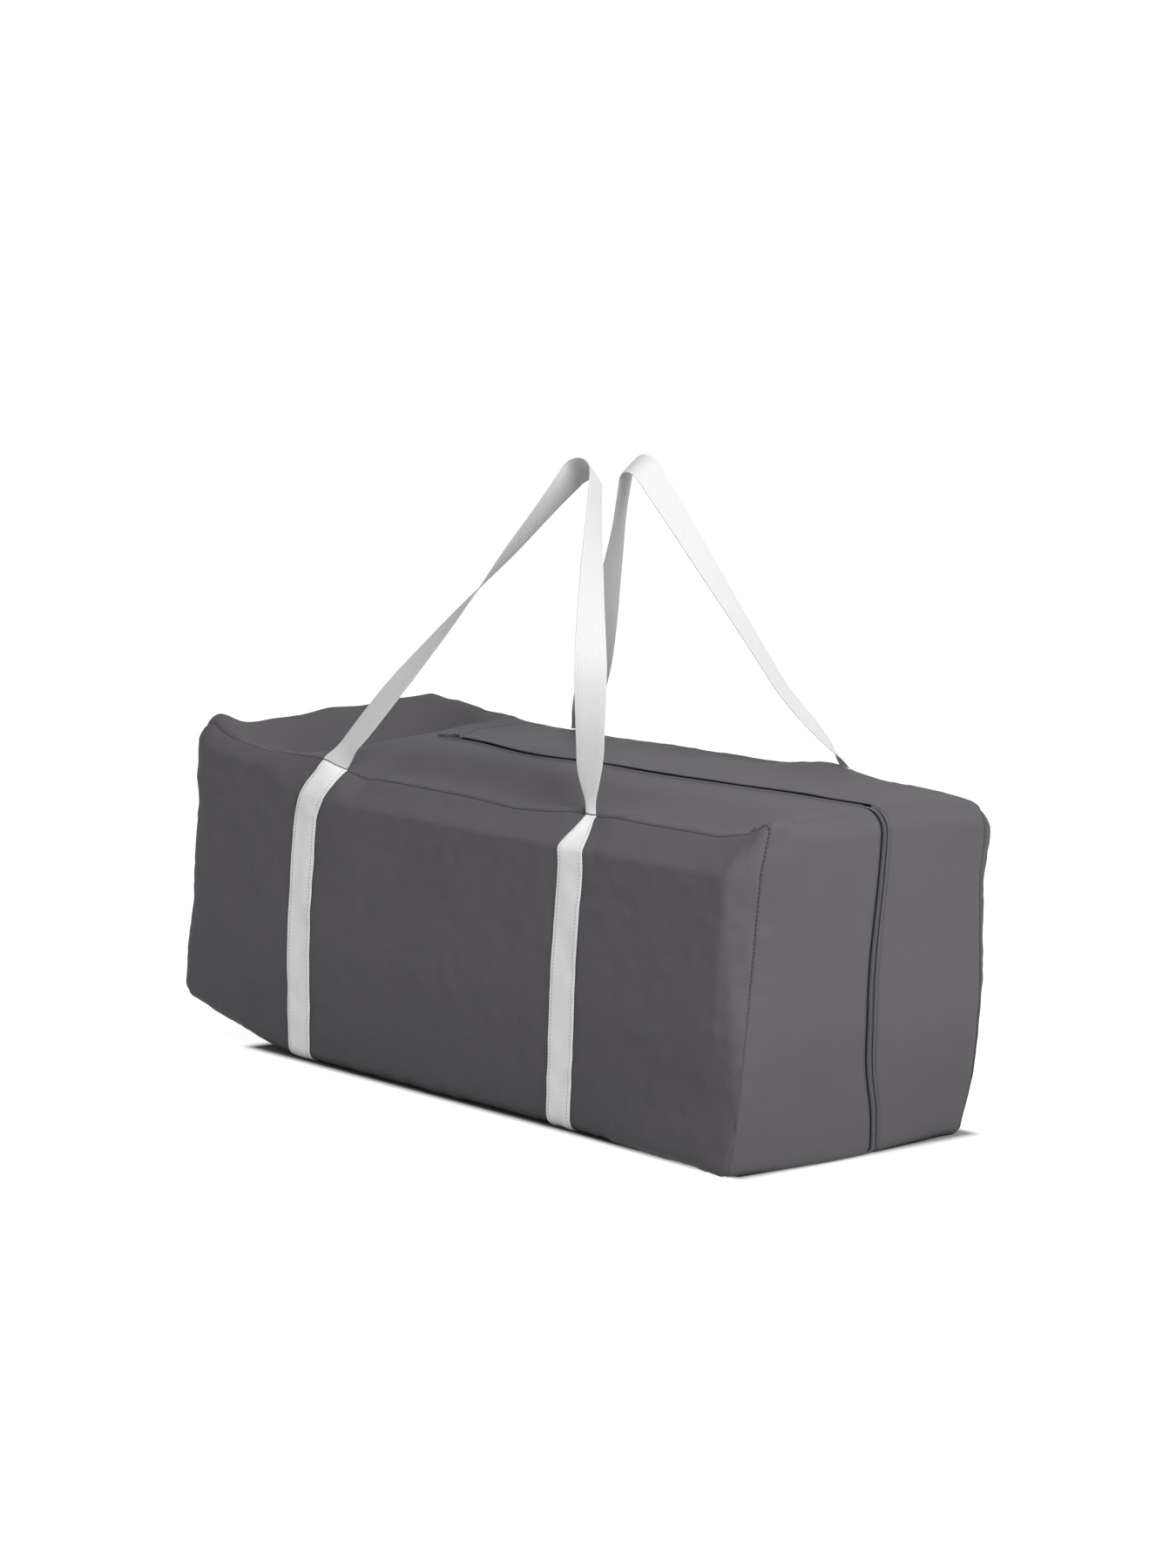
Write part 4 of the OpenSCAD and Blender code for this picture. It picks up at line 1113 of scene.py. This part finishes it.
def handle_line(side, leg=56, crown=16):
    """A handle's middle line in its own plane, with the leg and share of each point."""
    crown_x, crown_r, rise = CROWNS[side]
    mid = np.array([crown_x, rise - crown_r])
    tops = [mid + crown_r * np.array([math.cos(a), math.sin(a)]) for a in (left_turn, right_turn)]
    feet = [np.array([x, 0.0]) for x in FEET[side][:2]]
    t = np.linspace(0, 1, leg)[:, None] ** 1.15
    legs = [bezier(foot, (foot + top) / 2 + np.array([2 * bow, 0]), top, t)
            for foot, top, bow in zip(feet, tops, (BOWS[side][0], -BOWS[side][1]))]
    a = np.linspace(left_turn, right_turn, crown)[1:-1]
    arch = mid + crown_r * np.stack([np.cos(a), np.sin(a)], axis=1)
    points = np.concatenate([legs[0], arch, legs[1][::-1]])
    leg_of = np.concatenate([np.full(leg, -1), np.zeros(crown - 2), np.full(leg, 1)])
    share = np.concatenate([t[:, 0], np.ones(crown - 2), t[::-1, 0]])
    return points, leg_of, share


print("middle lines:", [path_lengths(handle_line(side)[0])[-1].round(3) for side, _ in SIDES], "m")

# %% How the handles twist
# Twist of each leg, in degrees, at shares of the way from its foot to the crown
TWISTS = {-1: {-1: [(0, 6), (0.15, 4), (0.23, 5), (0.31, 10), (0.39, 18), (0.47, 25), (0.55, 34),
                    (0.63, 47), (0.71, 60), (0.785, 68), (0.865, 75), (0.94, 84), (1, 98)],
               1: [(0, 0), (0.15, 2), (0.21, 6), (0.26, 13), (0.33, 19), (0.39, 32), (0.46, 55),
                   (0.53, 64), (0.60, 74), (0.74, 86), (0.81, 94), (0.88, 100), (1, 106)]},
          1: {-1: [(0, 20), (0.3, 45), (0.55, 80), (0.74, 98), (0.82, 105), (1, 103)],
              1: [(0, 45), (0.11, 62), (0.3, 64), (0.4, 66), (0.55, 72), (0.62, 76), (0.7, 80),
                  (0.77, 84), (0.85, 88), (0.92, 94), (1, 102)]}}


def handle_twist(side, leg_of, share, spread=9):
    """Twist at each point in radians, smoothed over a few points."""
    twist = np.radians([np.interp(t, *zip(*TWISTS[side][int(leg) or 1]))
                        for t, leg in zip(share, leg_of)])
    smooth, margin = np.hanning(spread) / np.hanning(spread).sum(), spread // 2
    twist[margin:-margin] = np.convolve(twist, smooth, mode="valid")
    return twist[:, None]


print("twist tables:", {word: [len(table) for table in TWISTS[side].values()] for side, word in SIDES})


# %% Handles
def handle_grid(side):
    """Points of a handle: its middle line, with a width that turns from level to on edge."""
    points, leg_of, share = handle_line(side)
    up_lean = np.array([0, -side * math.sin(lean), math.cos(lean)])
    out = np.array([0, side * math.cos(lean), math.sin(lean)])
    foot = np.array([0, *FEET[side][2:]])
    run = directions(points)
    across = np.stack([-run[:, 1], run[:, 0]], axis=1)
    straight = np.where(leg_of == 0, 1.0, ease(points[:, 1] / 0.045))[:, None]
    level_dir = np.stack([leg_of, np.zeros(len(leg_of))], axis=1)
    plane = across * straight + level_dir * (1 - straight)
    plane /= np.linalg.norm(plane, axis=1)[:, None]
    twist = handle_twist(side, leg_of, share)
    in_plane = plane[:, :1] * np.array([1, 0, 0]) + plane[:, 1:] * up_lean
    wide = in_plane * np.cos(twist) - out * np.sin(twist)
    middle = points[:, :1] * np.array([1, 0, 0]) + foot + points[:, 1:] * up_lean
    width = np.full(len(points), web_w / 2)
    for leg, which in LEGS:
        narrow = 1 - (1 - STRAPS[side, which][2]) * (1 - ease(points[:, 1] / 0.050))
        width = np.where(leg_of == leg, width * narrow, width)
    u = np.linspace(-1, 1, web_cols)
    grid = middle[:, None] + wide[:, None] * (width[:, None, None] * u[None, :, None])
    # Each foot starts on the end of its strap, one webbing thickness above it
    lift = np.array([0, side * 0.0006, 0.0016])
    for leg, which in LEGS:
        end, first = straps[side, which][-1], (0 if leg < 0 else -1)
        order = end if np.dot(end[-1] - end[0], wide[first]) > 0 else end[::-1]
        mine = (leg_of == leg)[:, None, None]
        stay = mine * (1 - ease(points[:, 1] / 0.022))[:, None, None]
        grid = grid * (1 - stay) + (order + lift + middle[:, None] - middle[first]) * stay
        gap = order[web_mid] + lift - middle[first]
        grid = grid + mine * gap * (1 - stay) * (1 - ease(points[:, 1] / 0.090))[:, None, None]
    return grid


for side, word in SIDES:
    grid = handle_grid(side)
    piece = ribbon_from_grid(word + "_handle_webbing", grid, handle_web_painted_shade)
    foot = grid[0, web_mid] * np.array([0, 1, 1])
    tuple(foot + np.array([0, -side * 0.001, 0.002]))
    tuple(foot + np.array([0, -side * 0.014, 0.032]))
    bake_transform(piece)
    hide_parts(word + "_handle")
    print(piece.name, "crown at", grid[len(grid) // 2, web_mid].round(3), "length",
          grid_lengths(grid)[-1, web_mid, 1].round(3))

# %% [markdown]
# ## Stitches
# A row of stitches is what tells the eye that something is cloth. Each stitch is a
# short thread that dips into the cloth at both ends. One function lays them along any
# line of points, and it is used for the seams, the zip's edges and the webbing.

# %% Stitch rows
# Pitch, length, radius and height of the stitches in seams, beside the zip, on the straps
SEAM_STITCH = (0.0040, 0.0030, 0.00070, 0.0002)
ZIP_STITCH = (0.0034, 0.0024, 0.0003, -0.0001)
STRAP_STITCH = (0.0034, 0.0024, 0.00028, web_t / 2)
# Each ring of a stitch: its place along it, its share of the radius, and how high it sits
STITCH = [(-0.5, 0.35, -0.8), (-0.28, 1.0, 0.3), (0.28, 1.0, 0.3), (0.5, 0.35, -0.8)]
stitch_sides = 5


def stitch_row(name, lines, finish, gauge):
    """Lays single stitches along each of some (points, normals)."""
    pitch, length, radius, lift = gauge
    angles = np.arange(stitch_sides) * 2 * math.pi / stitch_sides
    one = tube_faces(len(STITCH), stitch_sides)
    points, faces = [], []
    for path, normal in lines:
        lengths = path_lengths(path)
        for at in np.arange(pitch / 2, lengths[-1] - pitch / 4, pitch):
            a, b = (sample(at + d * length, lengths, path) for d in (-0.5, 0.5))
            n = sample(at, lengths, normal)
            along = (b - a) / max(np.linalg.norm(b - a), 1e-9)
            aside = np.cross(n, along)
            faces += [tuple(len(points) + v for v in face) for face in one]
            for share, r, dip in STITCH:
                spot = (a + b) / 2 + along * share * length + n * (lift + dip * radius)
                points += [spot + radius * r * (math.cos(t) * aside + math.sin(t) * n) for t in angles]
    points = np.array(points)
    return facing_out(mesh_object(name, points, faces, points[:, [0, 2]], finish))


def sewn_along(section, y):
    """Dressed points and normals on a lengthwise section at a place y."""
    path = section(y)
    plain = np.stack([path[:, 0], np.full(len(path), y), path[:, 1]], axis=1)
    return dress(plain), in_section(outward(plain))


print("seam stitches every", SEAM_STITCH[0] * 1000, "mm")

# %% Stitches in the seams and beside the zip
for side, word in SIDES:
    seam, edge = side * seam_y, side * (channel + 0.0030)
    fixed = [sewn_along(section, seam) for section in (zip_end_section, base_section, closed_section)]
    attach(stitch_row("seam_stitches_" + word, fixed, dark_thread, SEAM_STITCH), "root")
    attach(stitch_row("zip_stitches_end_" + word, [sewn_along(zip_end_section, edge)],
                       dark_thread, ZIP_STITCH), "root")
    for half, (x0, x1, _) in halves.items():
        section = top_section(x0, x1, 200)
        for row, y, gauge in (("flap", seam, SEAM_STITCH), ("zip", edge, ZIP_STITCH)):
            lifts(stitch_row(f"{row}_stitches_{word}_{half}", [sewn_along(section, y)],
                             dark_thread, gauge))


# %% Stitches down both edges of each strap
def edge_lines(grid, inset=0.1):
    """Points and normals a little inside both edges of a webbing grid."""
    n, last = outward_normals(grid), grid.shape[1] - 1
    lines = []
    for c in (inset * last, (1 - inset) * last):
        k, f = int(c), c - int(c)
        lines.append((grid[:, k] * (1 - f) + grid[:, k + 1] * f, n[:, k]))
    return lines


for (side, which), grid in straps.items():
    name = f"strap_stitches_{dict(SIDES)[side]}_{which}"
    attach(stitch_row(name, edge_lines(grid), pale_thread, STRAP_STITCH), "root")
    print(name, "along", grid_lengths(grid)[-1, web_mid, 1].round(3), "m")

# %% [markdown]
# ## What is inside
# With the zip open the wrapped mattress shows, and behind it the folded frame. Those
# parts are rigid or hidden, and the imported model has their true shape, so they keep it
# and get finishes of their own. The four mattress panels are padding, so they are made
# anew: foam in a sewn cover, crowned in the middle and drawn in at the edges.

# %% Mattress panels
pad_round = 0.030


def tucked(p):
    """The wrapped mattress gives way where the bag's front edge is drawn in."""
    share = ease((-p[..., 1] - 0.070) / 0.065) * ease((p[..., 2] - 0.160) / 0.100)
    p = p + share[..., None] * np.array([0, 0.0105, -0.0290])
    corner = ease((p[..., 0] - 0.300) / 0.045) * ease((-p[..., 1] - 0.110) / 0.040)
    p = p + corner[..., None] * np.array([-0.0160, 0.0130, 0])
    foot = (ease((p[..., 0] - 0.280) / 0.060) * ease((p[..., 1] - 0.100) / 0.050)
            * ease((0.090 - p[..., 2]) / 0.060))
    return p + foot[..., None] * np.array([-0.0080, -0.0150, 0])


def pad(word):
    """A crowned pad in the place of one flat mattress panel."""
    low, high = (np.array(c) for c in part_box("mattress_" + word))
    size, middle = high - low, (low + high) / 2
    half = size / 2 - 0.0004
    thin = int(np.argmin(size))
    u_axis, v_axis = [k for k in range(3) if k != thin]
    nu, nv = 72, max(24, int(72 * size[v_axis] / size[u_axis]))
    u, v = np.meshgrid(*(np.sin(np.linspace(-math.pi / 2, math.pi / 2, n)) for n in (nu, nv)),
                       indexing="ij")
    u, v = u * half[u_axis], v * half[v_axis]
    edge = quarter(half[u_axis] - np.abs(u), pad_round) * quarter(half[v_axis] - np.abs(v), pad_round)
    quilting = 1 - 0.10 * near(np.abs(u) % 0.19 - 0.095, 0.006)
    layers = []
    for face in (1, -1):
        p = np.zeros((nu, nv, 3))
        p[..., u_axis], p[..., v_axis] = u, v
        p[..., thin] = face * half[thin] * (0.10 + 0.90 * edge * quilting)
        layers.append(tucked(p + middle))
    quad, walls = grid_faces(nu, nv)
    points = np.concatenate([layer.reshape(-1, 3) for layer in layers])
    uv = np.concatenate([layer[..., [u_axis, v_axis]].reshape(-1, 2) for layer in layers])
    item = facing_out(mesh_object("mattress_pad_" + word, points, np.concatenate(
        [quad, quad[:, ::-1] + nu * nv, walls]), uv, mattress_cloth))
    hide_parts("mattress_" + word)
    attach(item, "root")
    return item


print("pads:", [pad(word).name for word in ("front", "back", "top", "bottom")])


# %% Closure loops round the wrapped mattress
def closure_loop(word, half=0.0190, wide=0.1603, highest=0.2880, corner=0.020, thick=0.0010):
    """A band of hook-and-loop webbing round the wrap, with rounded corners."""
    node = "closure_strap_" + word
    low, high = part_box(node)
    place, bottom, top = (low[0] + high[0]) / 2, low[2] + 0.0005, min(high[2], highest) - 0.0005
    quarters = [arc(side_y, z, corner, turn_from, turn_from + 90, 9) for side_y, z, turn_from in (
        (wide - corner, top - corner, 0), (corner - wide, top - corner, 90),
        (corner - wide, bottom + corner, 180), (wide - corner, bottom + corner, 270))]
    path = np.concatenate(quarters + [quarters[0][:1]])
    path = np.concatenate([np.linspace(a, b, 7)[:-1] for a, b in zip(path[:-1], path[1:])] + [path[-1:]])
    grid = np.stack([np.stack([np.full(len(path), place + u * half), path[:, 0], path[:, 1]], axis=1)
                     for u in np.linspace(-1, 1, 5)], axis=1)
    loop = ribbon_from_grid("closure_loop_" + word, tucked(grid), black_web, thick)
    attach(loop, "root")
    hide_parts(node)
    print(loop.name, "round the wrap at x", round(place, 3))


for word in ("closed", "zip"):
    closure_loop(word)

# %% Finishes for the parts that keep their shape
KEPT = {"mattress_boards": hardboard, "post_": tube_paint,
        "corner_": black_plastic, "foot_": black_plastic, "long_rail": tube_paint,
        "short_rail": tube_paint, "long_latch": black_plastic, "short_latch": black_plastic,
        "leg_": tube_paint, "base_hub": black_plastic, "pivot_pins": pin_metal,
        "liner": liner_cloth, "zip_slider": gunmetal, "zip_pull": gunmetal}
dressed = 0
for node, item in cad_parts.items():
    for prefix, finish in KEPT.items():
        if node.startswith(prefix):
            if not item.material_slots:
                item.data.materials.append(finish)
            for slot in item.material_slots:
                slot.material = finish
            dressed += 1
print("kept parts with a finish:", dressed)
